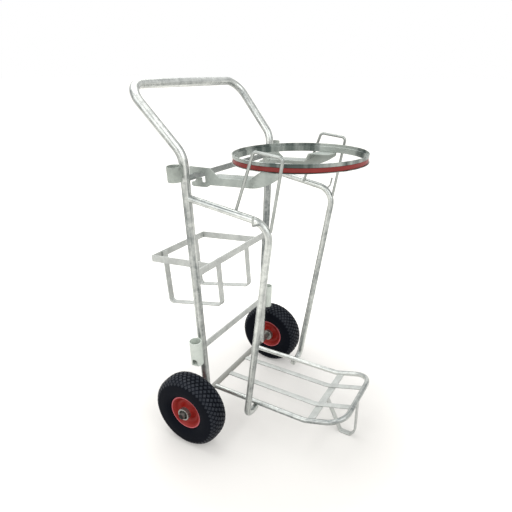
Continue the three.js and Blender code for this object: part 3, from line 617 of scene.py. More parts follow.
# its back, under the lip and then behind the web
RIM_BACK = ((0.0598, 0.0272), (0.0575, 0.0275), (0.0545, 0.0252), (0.0508, 0.0200))
RIM_WEB_BACK = (
    (0.0483, 0.0150),
    (0.0400, 0.0101),
    (0.0345, 0.0101),
    (0.0285, 0.0138),
    (0.0218, 0.0250),
)
BEAD_FACE = RIM_HALF_WIDTH - RIM_SHEET * 2
# the tyre under the rim's lip and on its seat, and its inner wall: radius and half width
TYRE_BEAD = (
    (RIM_LIP_RADIUS + TOUCH, BEAD_FACE),
    (RIM_SEAT_RADIUS + TOUCH, BEAD_FACE - 0.008),
    (RIM_SEAT_RADIUS + TOUCH, BEAD_FACE - 0.012),
)
TYRE_INSIDE = ((RIM_LIP_RADIUS + 0.007, 0.022), (TYRE_WIDEST_RADIUS, 0.033), (0.116, 0.026))
WHEEL_STEPS = 96

ENAMEL_GRAIN_SCALE = 45.0
ENAMEL_GRAIN_DETAIL = 3.0
ENAMEL_GRAIN_SHARE = 0.1
ENAMEL_GLOSS = 0.22
BLOOM_SCALE = 30.0
BLOOM_DETAIL = 4.0
BLOOM_SHARE = 0.15
SKIN_SCALE = 700.0
SKIN_DEPTH = 0.0004


def painted(name, colour, lip_colour, roughness):
    """Enamel that looks paler on the rim's rolled lip, where it catches the light all round."""
    material, shade = new_material(name)
    place = shade.node("ShaderNodeTexCoord", output="Object")
    flat = shade.node("ShaderNodeVectorMath", {"operation": "MULTIPLY"}, {0: place, 1: (0, 1, 1)})
    centre = {0: flat, 1: (0, axle.y, axle.z)}
    radius = shade.node("ShaderNodeVectorMath", {"operation": "DISTANCE"}, centre, "Value")
    lip = shade.node("ShaderNodeMapRange", None, {
        "Value": radius,
        "From Min": RIM_LIP_START,
        "From Max": RIM_LIP_CREST,
    })
    grain = noise(shade, place, ENAMEL_GRAIN_SCALE, ENAMEL_GRAIN_DETAIL)
    shader = shade.node("ShaderNodeBsdfPrincipled", None, {
        "Base Color": mixed(shade, lip, colour, lip_colour),
        "Roughness": roughness + grain * ENAMEL_GRAIN_SHARE,
        "Specular IOR Level": ENAMEL_GLOSS,
    })
    shade.node("ShaderNodeOutputMaterial", None, {0: shader})
    return material


def rubber(name, dark, light, roughness, grain, gloss):
    """Moulded rubber or plastic with a cloudy bloom and a fine grain."""
    material, shade = new_material(name)
    place = shade.node("ShaderNodeTexCoord", output="Object")
    bloom = noise(shade, place, BLOOM_SCALE, BLOOM_DETAIL)
    skin = shade.node("ShaderNodeBump", None, {
        "Strength": grain,
        "Distance": SKIN_DEPTH,
        "Height": noise(shade, place, SKIN_SCALE),
    })
    shader = shade.node("ShaderNodeBsdfPrincipled", None, {
        "Base Color": mixed(shade, bloom, dark, light),
        "Roughness": roughness + bloom * BLOOM_SHARE,
        "Specular IOR Level": gloss,
        "Normal": skin,
    })
    shade.node("ShaderNodeOutputMaterial", None, {0: shader})
    return material


TYRE_BLACK = ((0.002, 0.003, 0.005), (0.004, 0.005, 0.009))
# the tread is lighter than the carcass: worn block tops, and a painted highlight on them
TREAD_BLACK_WORN_AND_LIT = ((0.008, 0.010, 0.014), (0.024, 0.028, 0.036))
BUSH_BLACK = ((0.008, 0.008, 0.009), (0.016, 0.016, 0.018))
RIM_RED = ((0.25, 0.012, 0.008), (0.55, 0.130, 0.150))

tyre_rubber = rubber("tyre rubber", *TYRE_BLACK, roughness=0.55, grain=0.35, gloss=0.05)
tread_rubber = rubber("tread rubber", *TREAD_BLACK_WORN_AND_LIT, roughness=0.36, grain=0.2, gloss=0.14)
rim_red = painted("red enamel", *RIM_RED, roughness=0.40)
bush_plastic = rubber("black plastic", *BUSH_BLACK, roughness=0.35, grain=0.1, gloss=0.3)


def carcass_point(angle):
    """Radius and half width of the tyre's outer skin, at an angle from the middle of the tread."""
    power = 2 / TYRE_SQUARENESS
    width = TYRE_HALF_WIDTH * math.sin(angle) ** power
    depth = WHEEL_RADIUS - TYRE_WIDEST_RADIUS if angle < math.pi / 2 else -TYRE_FOLD_DEPTH
    rise = depth * abs(math.cos(angle)) ** power
    return TYRE_WIDEST_RADIUS + rise, width


def joined(bm, places):
    """Points joined one to the next and back to the first, with their edges."""
    verts = [bmesh.ops.create_vert(bm, co=place)["vert"][0] for place in places]
    edges = []
    for before, after in zip(verts, verts[1:] + verts[:1]):
        edges += bmesh.ops.contextual_create(bm, geom=[before, after])["edges"]
    return verts, edges


def turned_loop(bm, points, steps=WHEEL_STEPS):
    """A closed outline of (radius, offset) points, turned about the X axis."""
    verts, edges = joined(bm, [(offset, 0, radius) for radius, offset in points])
    bmesh.ops.spin(
        bm,
        geom=verts + edges,
        cent=(0, 0, 0),
        axis=X_AXIS,
        angle=2 * math.pi,
        steps=steps,
        use_merge=True,
    )
    bmesh.ops.remove_doubles(bm, verts=bm.verts, dist=MERGE_WITHIN)


def wheel_piece(name, bm, side, finish, nodes, body=None):
    """Sets a turned piece on the axle, where it rides on its wheel unless a body is given."""
    bmesh.ops.translate(bm, vec=at(side * WHEEL_X, 0, axle.z), verts=bm.verts)
    word = "left" if side == LEFT else "right"
    return add_piece(f"{name}_{word}", bm, finish, body or f"wheel_{word}", nodes)


def carcass():
    """The tyre without its blocks, from bead to bead, and back along its inner wall."""
    outline = []
    for degrees in SKIN_DEGREES:
        radius, width = carcass_point(math.radians(degrees))
        if radius < RIM_LIP_RADIUS + TOUCH:
            break
        outline.append((min(radius, WHEEL_RADIUS - TREAD_DEPTH), width))
    sidewall = range(SIDEWALL_START, len(outline))
    for groove in SIDE_GROOVE_RADII:
        nearest = min(sidewall, key=lambda i: abs(outline[i][0] - groove))
        radius, width = outline[nearest]
        outline[nearest] = (radius, width - SIDE_GROOVE_DEPTH)
    half = [*outline, *TYRE_BEAD, *TYRE_INSIDE]
    mirror = [(radius, -offset) for radius, offset in reversed(half)]
    return half + mirror


def tread(bm):
    """Rows of diamond blocks over the crown and the shoulders, every other row half a block on."""
    template = bmesh.ops.create_cube(bm, size=1)["verts"]
    bmesh.ops.scale(bm, vec=(BLOCK_SIZE, BLOCK_SIZE, 2 * TREAD_DEPTH), verts=template)
    top = [vert for vert in template if vert.co.z > 0]
    bmesh.ops.scale(bm, vec=(BLOCK_TAPER, BLOCK_TAPER, 1), verts=top)
    diamond = Matrix.Rotation(math.pi / 4, 3, "Z")
    bmesh.ops.rotate(bm, cent=(0, 0, 0), matrix=diamond, verts=template)
    faces = bm.faces[:]
    sunk = Matrix.Translation((0, 0, -TREAD_DEPTH))
    for row, degrees in enumerate(TREAD_ROWS):
        radius, width = carcass_point(math.radians(degrees))
        ahead, wider = carcass_point(math.radians(degrees + TREAD_TILT_STEP))
        tilt = math.atan2(radius - ahead, wider - width)
        for facing in (LEFT, RIGHT) if row else (RIGHT,):
            leaning = Matrix.Rotation(facing * tilt, 4, "Y")
            place = Matrix.Translation((facing * width, 0, radius)) @ leaning @ sunk
            for block in range(TREAD_BLOCKS):
                share = (block + row / 2) / TREAD_BLOCKS
                turn = Matrix.Rotation(2 * math.pi * share, 4, "X")
                copy = bmesh.ops.duplicate(bm, geom=faces)["geom"]
                verts = [part for part in copy if isinstance(part, bmesh.types.BMVert)]
                bmesh.ops.transform(bm, matrix=turn @ place, verts=verts)
    bmesh.ops.delete(bm, geom=faces, context="FACES")


def rim_outline(facing):
    """A pressed half: a dished web, a flared wall with a rolled lip, and the tyre's seat."""
    seat_wall = ((RIM_SEAT_RADIUS, TOUCH / 2), (RIM_SEAT_RADIUS - RIM_SHEET, TOUCH / 2))
    points = (*RIM_FACE, *RIM_BACK, *seat_wall, *RIM_WEB_BACK)
    return [(radius, facing * offset) for radius, offset in points]


hub_bore = HUB_RADIUS - HUB_WALL
bush_radius = hub_bore - TOUCH
loose_bore = AXLE_RADIUS + TOUCH
# outer radius, bore, finish, material slot, and the body where it isn't the wheel
WHEEL_RINGS = {
    "hub_tube": (HUB_RADIUS, hub_bore, bright_zinc, "hub_steel", None),
    "bearing_outer": (bush_radius, loose_bore, bush_plastic, "bearing_plastic", None),
    "bearing_inner": (bush_radius, loose_bore, bush_plastic, "bearing_plastic", None),
    "axle_collar": (COLLAR_RADIUS, loose_bore, bright_zinc, "hub_steel", "root"),
    "outer_washer": (COLLAR_RADIUS, loose_bore, bright_zinc, "hub_steel", "root"),
}

for word, side in SIDES.items():
    bm = bmesh.new()
    turned_loop(bm, carcass())
    wheel_piece("tyre_carcass", bm, side, tyre_rubber, [f"tyre_{word}"])
    bm = bmesh.new()
    tread(bm)
    wheel_piece("tyre_tread", bm, side, tread_rubber, [])
    for name, facing in (("rim_outer", side), ("rim_inner", -side)):
        bm = bmesh.new()
        turned_loop(bm, rim_outline(facing))
        wheel_piece(f"{name}_half", bm, side, rim_red, [f"{name}_{word}"])
    for name, (outer, bore, finish, slot, body) in WHEEL_RINGS.items():
        low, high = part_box(f"{name}_{word}")
        near = low[0] - side * WHEEL_X
        far = high[0] - side * WHEEL_X
        bm = bmesh.new()
        turned_loop(bm, [(bore, near), (outer, near), (outer, far), (bore, far)], HUB_STEPS)
        ring = wheel_piece(f"{name}_ring", bm, side, finish, [f"{name}_{word}"], body)
        rounded(ring, SMALL_ROUND)

# ---------------------------------------------------------------- broom clips and cups
# Short lengths of galvanised tube beside each upright: an open one on a lug above, and one with a
# floor and a drain notch below, so that a broom stands in the cup and leans in the clip.

Z_AXIS = Vector((0, 0, 1))

BROOM_TUBE_RADIUS = 0.021
BROOM_TUBE_WALL = 0.0025
CLIP_Z = 0.951
CLIP_HEIGHT = 0.044
CLIP_STANDOFF = 0.0067
CLIP_TURN = math.radians(4)
CLIP_LUG_WIDTH = 0.014
CLIP_LUG_HEIGHT = 0.030
CLIP_LUG_SINK = 0.001
CUP_Z = 0.332
CUP_HEIGHT = 0.091
CUP_FLOOR = 0.003
CUP_NOTCH_WIDTH = 0.020
CUP_NOTCH_HEIGHT = 0.027
CUP_NOTCH_TURN = math.radians(10)
CUP_COLUMNS = 144
CLIP_TONES = ((0.21, 0.23, 0.21), (0.41, 0.45, 0.41))
CUP_TONES = ((0.50, 0.54, 0.50), (0.69, 0.74, 0.68))

clip_zinc = galvanised("galvanised clip", *CLIP_TONES, roughness=0.45, metal=0.4)
cup_zinc = galvanised("galvanised cup", *CUP_TONES, roughness=0.50, metal=0.2)
lean = math.atan((ARM_BEND_X - UPRIGHT_FOOT_X) / (ARM_BEND_Z - axle.z))


def beside_upright(bm, side, z):
    """Moves a piece made about the upright's axis to its height on the leaning upright."""
    leaning = Matrix.Rotation(side * lean, 4, "Y")
    place = Matrix.Translation(at(side * upright_x(z), 0, z)) @ leaning
    bmesh.ops.transform(bm, matrix=place, verts=bm.verts)


def short_tube(bm, centre, height, notch=None):
    """A tube wall rolled from a strip, with an arched notch at its foot where an angle is given."""
    strip = bmesh.ops.create_grid(bm, x_segments=CUP_COLUMNS, y_segments=2, size=0.5)["verts"]
    for vert in strip:
        angle = 2 * math.pi * vert.co.x
        foot = 0
        if notch is not None:
            across = BROOM_TUBE_RADIUS * math.remainder(angle - notch, 2 * math.pi)
            half = CUP_NOTCH_WIDTH / 2
            if abs(across) < half:
                foot = CUP_NOTCH_HEIGHT - half + math.sqrt(half ** 2 - across ** 2)
        share = vert.co.y + 0.5
        x = BROOM_TUBE_RADIUS * math.cos(angle)
        y = BROOM_TUBE_RADIUS * math.sin(angle)
        z = -height / 2 + foot + share * (height - foot)
        vert.co = centre + Vector((x, y, z))
    bmesh.ops.remove_doubles(bm, verts=strip, dist=MERGE_WITHIN)
    bmesh.ops.recalc_face_normals(bm, faces=bm.faces)
    bmesh.ops.solidify(bm, geom=bm.faces[:], thickness=BROOM_TUBE_WALL)


for word, side in SIDES.items():
    reach = FRAME_RADIUS + CLIP_STANDOFF + BROOM_TUBE_RADIUS
    centre = Vector((side * reach * math.cos(CLIP_TURN), reach * math.sin(CLIP_TURN), 0))
    bm = bmesh.new()
    short_tube(bm, centre, CLIP_HEIGHT)
    lug = bmesh.ops.create_cube(bm, size=1)["verts"]
    lug_reach = CLIP_STANDOFF + BROOM_TUBE_WALL
    bmesh.ops.scale(bm, vec=(lug_reach, CLIP_LUG_WIDTH, CLIP_LUG_HEIGHT), verts=lug)
    lug_x = FRAME_RADIUS + lug_reach / 2 - CLIP_LUG_SINK
    bmesh.ops.translate(bm, vec=(side * lug_x, centre.y / 2, 0), verts=lug)
    beside_upright(bm, side, CLIP_Z)
    clip_nodes = [f"broom_clip_{word}"]
    clip = add_piece(f"clip_{word}", bm, clip_zinc, "root", clip_nodes)
    rounded(clip, SMALL_ROUND)

    centre = Vector((side * (FRAME_RADIUS + TOUCH + BROOM_TUBE_RADIUS), 0, 0))
    bm = bmesh.new()
    short_tube(bm, centre, CUP_HEIGHT, -CUP_NOTCH_TURN if side > 0 else math.pi + CUP_NOTCH_TURN)
    base = bmesh.ops.create_cone(
        bm,
        cap_ends=True,
        segments=CUP_COLUMNS // 2,
        radius1=BROOM_TUBE_RADIUS - BROOM_TUBE_WALL,
        radius2=BROOM_TUBE_RADIUS - BROOM_TUBE_WALL,
        depth=CUP_FLOOR,
    )["verts"]
    bmesh.ops.translate(bm, vec=centre - Z_AXIS * (CUP_HEIGHT - CUP_FLOOR) / 2, verts=base)
    beside_upright(bm, side, CUP_Z)
    cup_nodes = [f"broom_cup_{word}"]
    cup = add_piece(f"cup_{word}", bm, cup_zinc, "root", cup_nodes)
    rounded(cup, SMALL_ROUND)

# ---------------------------------------------------------------- carrier arms
# Two arms pressed from sheet: a side plate whose fork holds the upper crossbar, and a flange that
# sweeps up under the bag ring, which is welded on. Arms and ring lift off together.

UPPER_BAR_Z = 0.926
ARM_TILT = math.radians(2.7)
ARM_FACE_X = 0.2035
ARM_SHEET = 0.003
ARM_BEND = 0.0026
FLANGE_WIDTH = 0.056
FLANGE_REAR = 0.044
FLANGE_REAR_ROUND = 0.010
FLANGE_FRONT_ROUND = 0.024
FLANGE_DROP = 0.002
FLANGE_INSET = ARM_SHEET / 8
FLANGE_COLUMNS = 10
FLANGE_ROWS = 90
SHOULDER_FRONT = 0.086
OUTER_SWEEP = (0.180, 0.232)
INNER_SWEEP = (0.194, 0.211)
SWEEP_STEPS = 10
ARM_FRONT = 0.287
SEAT_Z = 0.0227
SEAT_SLOPE = 0.0314
RING_Y = 0.247
SHEET_TONES = ((0.26, 0.29, 0.27), (0.42, 0.455, 0.42))


def seat(distance):
    """The height of the ring's underside, at a distance in front of the bar."""
    return SEAT_Z - (distance - RING_Y) * SEAT_SLOPE


def sweep(distance, start, end):
    """The flange's height where it rises between two distances in front of the bar."""
    share = min(1, max(0, (distance - start) / (end - start)))
    rise = share * share * (3 - 2 * share)
    return -FLANGE_DROP + rise * (seat(distance) + FLANGE_DROP)


sweep_start, sweep_end = OUTER_SWEEP
sweep_distances = [
    sweep_start + (sweep_end - sweep_start) * step / SWEEP_STEPS for step in range(SWEEP_STEPS + 1)
]
# the side plate's corners, behind and above the middle of the bar, and where each round starts
ARM_OUTLINE = (
    (0.020, -0.0026, 0.003),
    (0.020, 0.0284, 0.003),
    (-0.056, 0.0254, 0.003),
    (-SHOULDER_FRONT, -FLANGE_DROP, 0),
    *((-distance, sweep(distance, *OUTER_SWEEP), 0) for distance in sweep_distances),
    (-ARM_FRONT, seat(ARM_FRONT), 0),
    (-ARM_FRONT, 0.010, 0.004),
    (-0.2475, -0.0135, 0.020),
    (-0.208, -0.025, 0.016),
    (-0.053, -0.025, 0.002),
    (-0.040, -0.032, 0.004),
    (0.0155, -0.032, 0.007),
    (0.0155, -0.018, 0.004),
    (0.003, -0.016, 0.003),
    (-0.007, -0.0035, 0.003),
    (-0.0245, -0.0035, 0.003),
    (-0.0245, -0.0175, 0.003),
    (-0.036, -0.0175, 0.003),
    (-0.036, 0.0094, 0.003),
    (0.0028, 0.0094, 0),
    (0.0042, -0.0026, 0.0006),
)

sheet_zinc = galvanised("galvanised sheet", *SHEET_TONES, roughness=0.40, metal=0.35)
carrier_place = Matrix.Translation(at(0, 0, UPPER_BAR_Z)) @ Matrix.Rotation(-ARM_TILT, 4, "X")


def bevelled(bm, parts, width, affect):
    """Rounds some corners or edges in the mesh itself."""
    bmesh.ops.bevel(
        bm, geom=parts, offset=width, segments=4, profile=0.5, affect=affect, material=-1
    )


def cut_sheet(bm, outline, x, thickness):
    """A plate cut from sheet and set on edge along the cart. Returns its outer face's edges."""
    verts, edges = joined(bm, [(x, y, z) for y, z, start in outline])
    bmesh.ops.contextual_create(bm, geom=edges)
    for vert, (y, z, start) in zip(verts, outline):
        if start:
            bevelled(bm, [vert], start, "VERTICES")
    far = bmesh.ops.extrude_face_region(bm, geom=bm.faces[:])["geom"]
    moved = [part for part in far if isinstance(part, bmesh.types.BMVert)]
    bmesh.ops.translate(bm, vec=(thickness, 0, 0), verts=moved)
    return [edge for edge in bm.edges if edge.verts[0].co.x == edge.verts[1].co.x == x]


def on_the_bend(edge):
    """Whether an edge of the side plate is where the flange is folded from it."""
    return all(
        -ARM_FRONT < vert.co.y < -SHOULDER_FRONT and vert.co.z > -FLANGE_DROP - MERGE_WITHIN
        for vert in edge.verts
    )


def flange(bm, side):
    """The flange: a strip folded inward from the plate, its free corners rounded."""
    strip = bmesh.ops.create_grid(
        bm, x_segments=FLANGE_COLUMNS, y_segments=FLANGE_ROWS, size=0.5
    )["verts"]
    faces = list({face for vert in strip for face in vert.link_faces})
    for vert in strip:
        across = vert.co.x + 0.5
        distance = FLANGE_REAR + (vert.co.y + 0.5) * (ARM_FRONT - FLANGE_REAR)
        width = FLANGE_WIDTH
        corners = (
            (distance - FLANGE_REAR, FLANGE_REAR_ROUND),
            (ARM_FRONT - distance, FLANGE_FRONT_ROUND),
        )
        for start, radius in corners:
            if start < radius:
                width -= radius - math.sqrt(radius ** 2 - (radius - start) ** 2)
        span = [
            inner * across + outer * (1 - across)
            for outer, inner in zip(OUTER_SWEEP, INNER_SWEEP)
        ]
        x = side * (ARM_FACE_X + FLANGE_INSET - across * width)
        vert.co = (x, -distance, sweep(distance, *span))
    bmesh.ops.recalc_face_normals(bm, faces=faces)
    if faces[0].normal.z < 0:
        bmesh.ops.reverse_faces(bm, faces=faces)
    bmesh.ops.solidify(bm, geom=faces, thickness=ARM_SHEET)


for word, side in SIDES.items():
    bm = bmesh.new()
    outer_edges = cut_sheet(bm, ARM_OUTLINE, side * (ARM_FACE_X + ARM_SHEET), -side * ARM_SHEET)
    bevelled(bm, [edge for edge in outer_edges if on_the_bend(edge)], ARM_BEND, "EDGES")
    flange(bm, side)
    bmesh.ops.transform(bm, matrix=carrier_place, verts=bm.verts)
    arm_nodes = [f"carrier_arm_{word}"]
    arm = add_piece(
        f"arm_{word}", bm, sheet_zinc, "ring_carrier", arm_nodes
    )
    rounded(arm, SHEET_ROUND)

# ---------------------------------------------------------------- bag ring and rubber band
# A ring rolled from sheet with a groove low round its outside. A red rubber band lies in the
# groove and grips the bag that is folded over the ring.

RING_TILT = math.radians(0.9)
RING_LIFT = 0.023
RING_RADIUS = 0.209
RING_GROOVE_RADIUS = 0.202
RING_SHEET = 0.002
RING_GROOVE_TOP = 0.016
RING_HEIGHT = 0.027
RING_BEAD = 0.0015
RING_EDGE_ROUND = 0.0007
BAND_THICKNESS = 0.004
BAND_ROUND = 0.0015
RING_STEPS = 180

# painted reflections on the ring: dark greenish and bluish patches and upright streaks in its
# colour
RING_LIGHT = (0.34, 0.37, 0.345)
RING_REFLECTION_GREEN = (0.062, 0.080, 0.074)
RING_REFLECTION_BLUE = (0.070, 0.072, 0.105)
RING_METAL = 0.75
RING_ROUGHNESS = 0.36
PATTERN_SHIFT = (0, 0, 291.7)
PATTERN_STRETCH = (1, 1, 0.12)
PATCH_SCALE = 14.0
PATCH_DETAIL = 1.0
PATCH_SHARE = 4.5
REFLECTION_STRIPE_SCALE = 60.0
REFLECTION_STRIPE_DETAIL = 3.0
REFLECTION_STRIPE_SHARE = 1.6
RING_TONE = 0.76
BLUE_START = 0.42
BLUE_RISE = 6
BAND_RED = ((0.15, 0.017, 0.014), (0.27, 0.036, 0.032))

ring_lean = Matrix.Rotation(ARM_TILT - RING_TILT, 4, "X")
ring_place = carrier_place @ Matrix.Translation((0, -RING_Y, RING_LIFT)) @ ring_lean


def rolled_zinc(name):
    """Zinc over rolled sheet, with painted reflections: upright streaks and dark patches, some of
    them bluish.
    """
    material, shade = new_material(name)
    place = shade.node("ShaderNodeTexCoord", output="Object")
    stretch = {"Vector": place, "Location": PATTERN_SHIFT, "Scale": PATTERN_STRETCH}
    upright = shade.node("ShaderNodeMapping", None, stretch)
    patches = noise(shade, upright, PATCH_SCALE, PATCH_DETAIL)
    reflection_streaks = noise(shade, upright, REFLECTION_STRIPE_SCALE, REFLECTION_STRIPE_DETAIL)
    dark = mixed(shade, (patches - BLUE_START) * BLUE_RISE, RING_REFLECTION_GREEN, RING_REFLECTION_BLUE)
    tone = (patches - 0.5) * PATCH_SHARE + (reflection_streaks - 0.5) * REFLECTION_STRIPE_SHARE + RING_TONE
    shader = shade.node("ShaderNodeBsdfPrincipled", None, {
        "Base Color": mixed(shade, tone, dark, RING_LIGHT),
        "Metallic": RING_METAL,
        "Roughness": RING_ROUGHNESS,
    })
    shade.node("ShaderNodeOutputMaterial", None, {0: shader})
    return material


def rolled(name, points, finish, nodes, edge):
    """A closed outline of (radius, height) points turned about the ring's own axis."""
    bm = bmesh.new()
    turned_loop(bm, points, RING_STEPS)
    stand = Matrix.Rotation(-math.pi / 2, 4, "Y")
    bmesh.ops.transform(bm, matrix=ring_place @ stand, verts=bm.verts)
    rounded(add_piece(name, bm, finish, "ring_carrier", nodes), edge)


wall_radius = RING_RADIUS - RING_BEAD
rolled(
    "ring",
    [
        (RING_GROOVE_RADIUS - RING_SHEET, 0),
        (RING_RADIUS, 0),
        (RING_RADIUS, RING_SHEET),
        (RING_GROOVE_RADIUS, RING_SHEET),
        (RING_GROOVE_RADIUS, RING_GROOVE_TOP),
        (wall_radius, RING_GROOVE_TOP),
        (wall_radius, RING_HEIGHT - 2 * RING_BEAD),
        (RING_RADIUS, RING_HEIGHT - RING_BEAD),
        (wall_radius, RING_HEIGHT),
        (wall_radius - RING_SHEET, RING_HEIGHT),
        (wall_radius - RING_SHEET, RING_GROOVE_TOP + RING_SHEET),
        (RING_GROOVE_RADIUS - RING_SHEET, RING_GROOVE_TOP + RING_SHEET),
    ],
    rolled_zinc("rolled sheet"),
    ["bag_ring"],
    RING_EDGE_ROUND,
)

band_red = rubber("red rubber", *BAND_RED, roughness=0.38, grain=0.15, gloss=0.25)
rolled(
    "band",
    [
        (RING_GROOVE_RADIUS + TOUCH, RING_SHEET + TOUCH),
        (RING_GROOVE_RADIUS + BAND_THICKNESS, RING_SHEET + TOUCH),
        (RING_GROOVE_RADIUS + BAND_THICKNESS, RING_GROOVE_TOP - TOUCH),
        (RING_GROOVE_RADIUS + TOUCH, RING_GROOVE_TOP - TOUCH),
    ],
    band_red,
    ["rubber_band"],
    BAND_ROUND,
)

# ---------------------------------------------------------------- wire hoops and tool hooks
# Bent galvanised rod welded on the side tubes: a tall hoop beside the bag ring, and a small hook
# that turns up on the side tube's bend.

HOOP_RADIUS = 0.0046
HOOP_X = 0.2315
HOOP_REAR_Y = 0.157
HOOP_TOP_Z = 1.018
HOOP_TOP_REAR_Y = 0.217
HOOP_TOP_FRONT_Y = 0.306
HOOP_TOP_FALL = 0.010
HOOP_FRONT_Y = 0.272
HOOP_FRONT_Z = 0.802
HOOP_BEND_RADIUS = 0.012
HOOK_RADIUS = 0.003
HOOK_BEND_RADIUS = 0.009
HOOK_X = 0.233
HOOK_Y = 0.2426
HOOK_Z = 0.8205
HOOK_REACH = 0.048
HOOK_LIFT = 0.008
HOOK_LEAN = 0.004
HOOK_RISE = 0.027
ROD_SIDES = 16
ROD_TONES = ((0.17, 0.185, 0.175), (0.40, 0.42, 0.40))

# painted reflections streak the rod, more faintly than the tubes
rod_zinc = galvanised("galvanised rod", *ROD_TONES, roughness=0.38, reflection_streaks=0.6)
side_fall = (SIDE_TOP_Z - SIDE_FRONT_Z) / SIDE_FRONT_Y

for word, side in SIDES.items():
    hoop = bent_tube(
        [
            at(side * HOOP_X, -HOOP_REAR_Y, SIDE_TOP_Z - side_fall * HOOP_REAR_Y),
            at(side * HOOP_X, -HOOP_TOP_REAR_Y, HOOP_TOP_Z),
            at(side * HOOP_X, -HOOP_TOP_FRONT_Y, HOOP_TOP_Z - HOOP_TOP_FALL),
            at(side * HOOP_X, -HOOP_FRONT_Y, HOOP_FRONT_Z),
        ],
        [HOOP_BEND_RADIUS, HOOP_BEND_RADIUS],
        HOOP_RADIUS,
        ROD_SIDES,
    )
    add_piece(f"hoop_{word}", hoop, rod_zinc, "root", [f"wire_hoop_{word}"])

    root = at(side * HOOK_X, -HOOK_Y, HOOK_Z)
    corner = root + Vector((side * HOOK_REACH, 0, HOOK_LIFT))
    tip = corner + Vector((side * HOOK_LEAN, -HOOK_LEAN, HOOK_RISE))
    hook = bent_tube([root, corner, tip], [HOOK_BEND_RADIUS], HOOK_RADIUS, ROD_SIDES)
    add_piece(f"hook_{word}", hook, rod_zinc, "root", [f"tool_hook_{word}"])

# ---------------------------------------------------------------- rear basket
# Flat bars on edge make the rim, and two bent bars make its legs and floor, all welded. It holds
# a bucket or bottles behind the uprights.

BASKET_THICKNESS = 0.005
BASKET_HEIGHT = 0.025
BASKET_FRONT_Z = 0.611
BASKET_REAR_Y = 0.254
BASKET_REAR_Z = 0.590
BASKET_HOOP_X = 0.093
BASKET_HOOP_WIDTH = 0.025
BASKET_KNEE = 0.009
BASKET_KNEE_RADIUS = 0.040
BASKET_BEND_RADIUS = 0.014
BASKET_TUCK = 0.003
BASKET_FLOOR_REAR_Y = 0.2285
BASKET_FLOOR_REAR_Z = 0.395
BASKET_FLOOR_FRONT_Y = -0.006
BASKET_FLOOR_FRONT_Z = 0.443

softened("basket_rear_bar", "basket_rear", bar_zinc, "root")
half_height = BASKET_HEIGHT / 2
front_leg_y = BAR_THICKNESS / 2 + TOUCH + BASKET_THICKNESS / 2
rear_leg_y = BASKET_REAR_Y - BASKET_THICKNESS - TOUCH - BASKET_THICKNESS / 2
for word, side in SIDES.items():
    softened(f"basket_side_bar_{word}", f"basket_side_{word}", bar_zinc, "root")
    x = side * BASKET_HOOP_X
    leg = bent_bar(
        [
            at(x, front_leg_y, BASKET_FRONT_Z + half_height - BASKET_TUCK),
            at(x, front_leg_y, BASKET_FRONT_Z - half_height - BASKET_KNEE),
            at(x, BASKET_FLOOR_FRONT_Y, BASKET_FLOOR_FRONT_Z),
            at(x, BASKET_FLOOR_REAR_Y, BASKET_FLOOR_REAR_Z),
            at(x, rear_leg_y, BASKET_REAR_Z + half_height - BASKET_TUCK),
        ],
        [BASKET_KNEE_RADIUS, BASKET_BEND_RADIUS, BASKET_BEND_RADIUS],
        BASKET_HOOP_WIDTH,
        BASKET_THICKNESS,
    )
    add_piece(
        f"basket_leg_{word}", leg, bar_zinc, "root", [f"basket_hoop_{word}"]
    )

# ---------------------------------------------------------------- floor, light and camera
# A pale floor that runs out of sight, soft lamps on both sides and above, and the camera where
# the photograph was taken from.

FLOOR_SIZE = 160.0
FLOOR_COLOUR = (0.54, 0.53, 0.51, 1)
FLOOR_GLOW = (1, 0.98, 0.95, 1)
FLOOR_LIFT = 0.24
FLOOR_FAR_LIFT = 0.6
# painted shadow: the floor glows less in a pool round the cart, its middle a little toward the
# nose, and is white beyond it
FLOOR_SHADE_POOL_CENTRE = (-0.09, -0.08, 0)
FLOOR_SHADE_POOL_START = 0.34
FLOOR_SHADE_POOL_END = 1.08
WORLD_TONE = 0.68
CAMERA_PLACE = (-1.2924, -0.7153, 1.2150)
CAMERA_TURN = (68.109, 0.0, -59.815)
CAMERA_LENS = 32.27
CAMERA_SENSOR = 36.0
LAMP_AIM = Vector((0, 0, 0.5))
# place, size and power
LAMPS = {
    "key lamp": ((0.3, 1.2, 3.4), 3.4, 82.0),
    "front lamp": ((-1.0, -2.6, 2.8), 2.6, 64.0),
    "side lamp": ((-3.2, 1.0, 2.2), 2.4, 45.0),
}


def seen_directly(shade):
    """1 for rays from the camera, from a mirror-like surface or through glass, else 0."""
    rays = [shade.node("ShaderNodeLightPath", output=name) for name in (
        "Is Camera Ray",
        "Is Glossy Ray",
        "Is Transmission Ray",
    )]
    return rays[0] + rays[1] + rays[2]


floor_material, shade = new_material("pale floor")
place = shade.node("ShaderNodeTexCoord", output="Object")
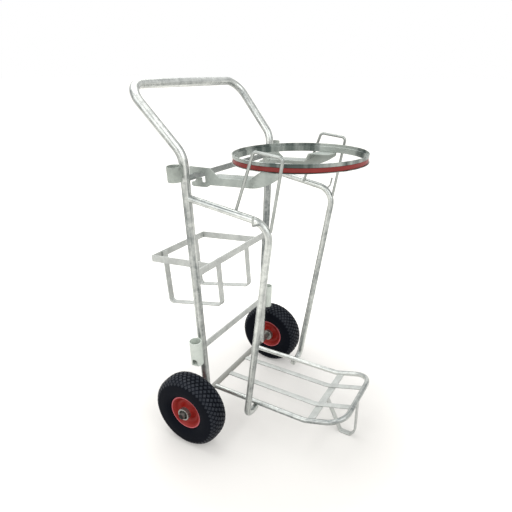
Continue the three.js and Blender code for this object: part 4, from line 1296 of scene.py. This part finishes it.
# painted shadow pool: the glow rises with distance from the pool's middle
ends = {0: place, 1: FLOOR_SHADE_POOL_CENTRE}
distance = shade.node("ShaderNodeVectorMath", {"operation": "DISTANCE"}, ends, "Value")
fade = {"Value": distance, "From Min": FLOOR_SHADE_POOL_START, "From Max": FLOOR_SHADE_POOL_END}
far = shade.node("ShaderNodeMapRange", {"interpolation_type": "SMOOTHSTEP"}, fade)
direct = seen_directly(shade)
matt = shade.node("ShaderNodeBsdfDiffuse", None, {"Color": FLOOR_COLOUR})
lift = {"Color": FLOOR_GLOW, "Strength": direct * (far * FLOOR_FAR_LIFT + FLOOR_LIFT)}
glow = shade.node("ShaderNodeEmission", None, lift)
surface = shade.node("ShaderNodeAddShader", None, {0: matt, 1: glow})
shade.node("ShaderNodeOutputMaterial", None, {0: surface})

bm = bmesh.new()
bmesh.ops.create_grid(bm, x_segments=1, y_segments=1, size=FLOOR_SIZE / 2)
floor_mesh = bpy.data.meshes.new("floor")
bm.to_mesh(floor_mesh)
bm.free()
floor_mesh.materials.append(floor_material)
floor = bpy.data.objects.new("floor", floor_mesh)
bpy.context.scene.collection.objects.link(floor)

world = bpy.data.worlds.new("studio")
world.use_nodes = True
world.node_tree.nodes.clear()
shade = Shade(world.node_tree)
direct = seen_directly(shade)
strength = WORLD_TONE + direct * (1 - WORLD_TONE)
sky = shade.node("ShaderNodeBackground", None, {"Color": (1, 1, 1, 1), "Strength": strength})
shade.node("ShaderNodeOutputWorld", None, {0: sky})
bpy.context.scene.world = world

for name, (place, size, power) in LAMPS.items():
    lamp = bpy.data.lights.new(name, "AREA")
    lamp.size = size
    lamp.energy = power
    holder = bpy.data.objects.new(name, lamp)
    holder.location = place
    aim = LAMP_AIM - Vector(place)
    holder.rotation_euler = aim.to_track_quat("-Z", "Y").to_euler()
    bpy.context.scene.collection.objects.link(holder)

camera_data = bpy.data.cameras.new("camera")
camera_data.lens = CAMERA_LENS
camera_data.sensor_width = CAMERA_SENSOR
camera = bpy.data.objects.new("camera", camera_data)
camera.location = CAMERA_PLACE
camera.rotation_euler = tuple(math.radians(turn) for turn in CAMERA_TURN)
bpy.context.scene.collection.objects.link(camera)
bpy.context.scene.camera = camera
bpy.context.scene.view_settings.view_transform = "Standard"
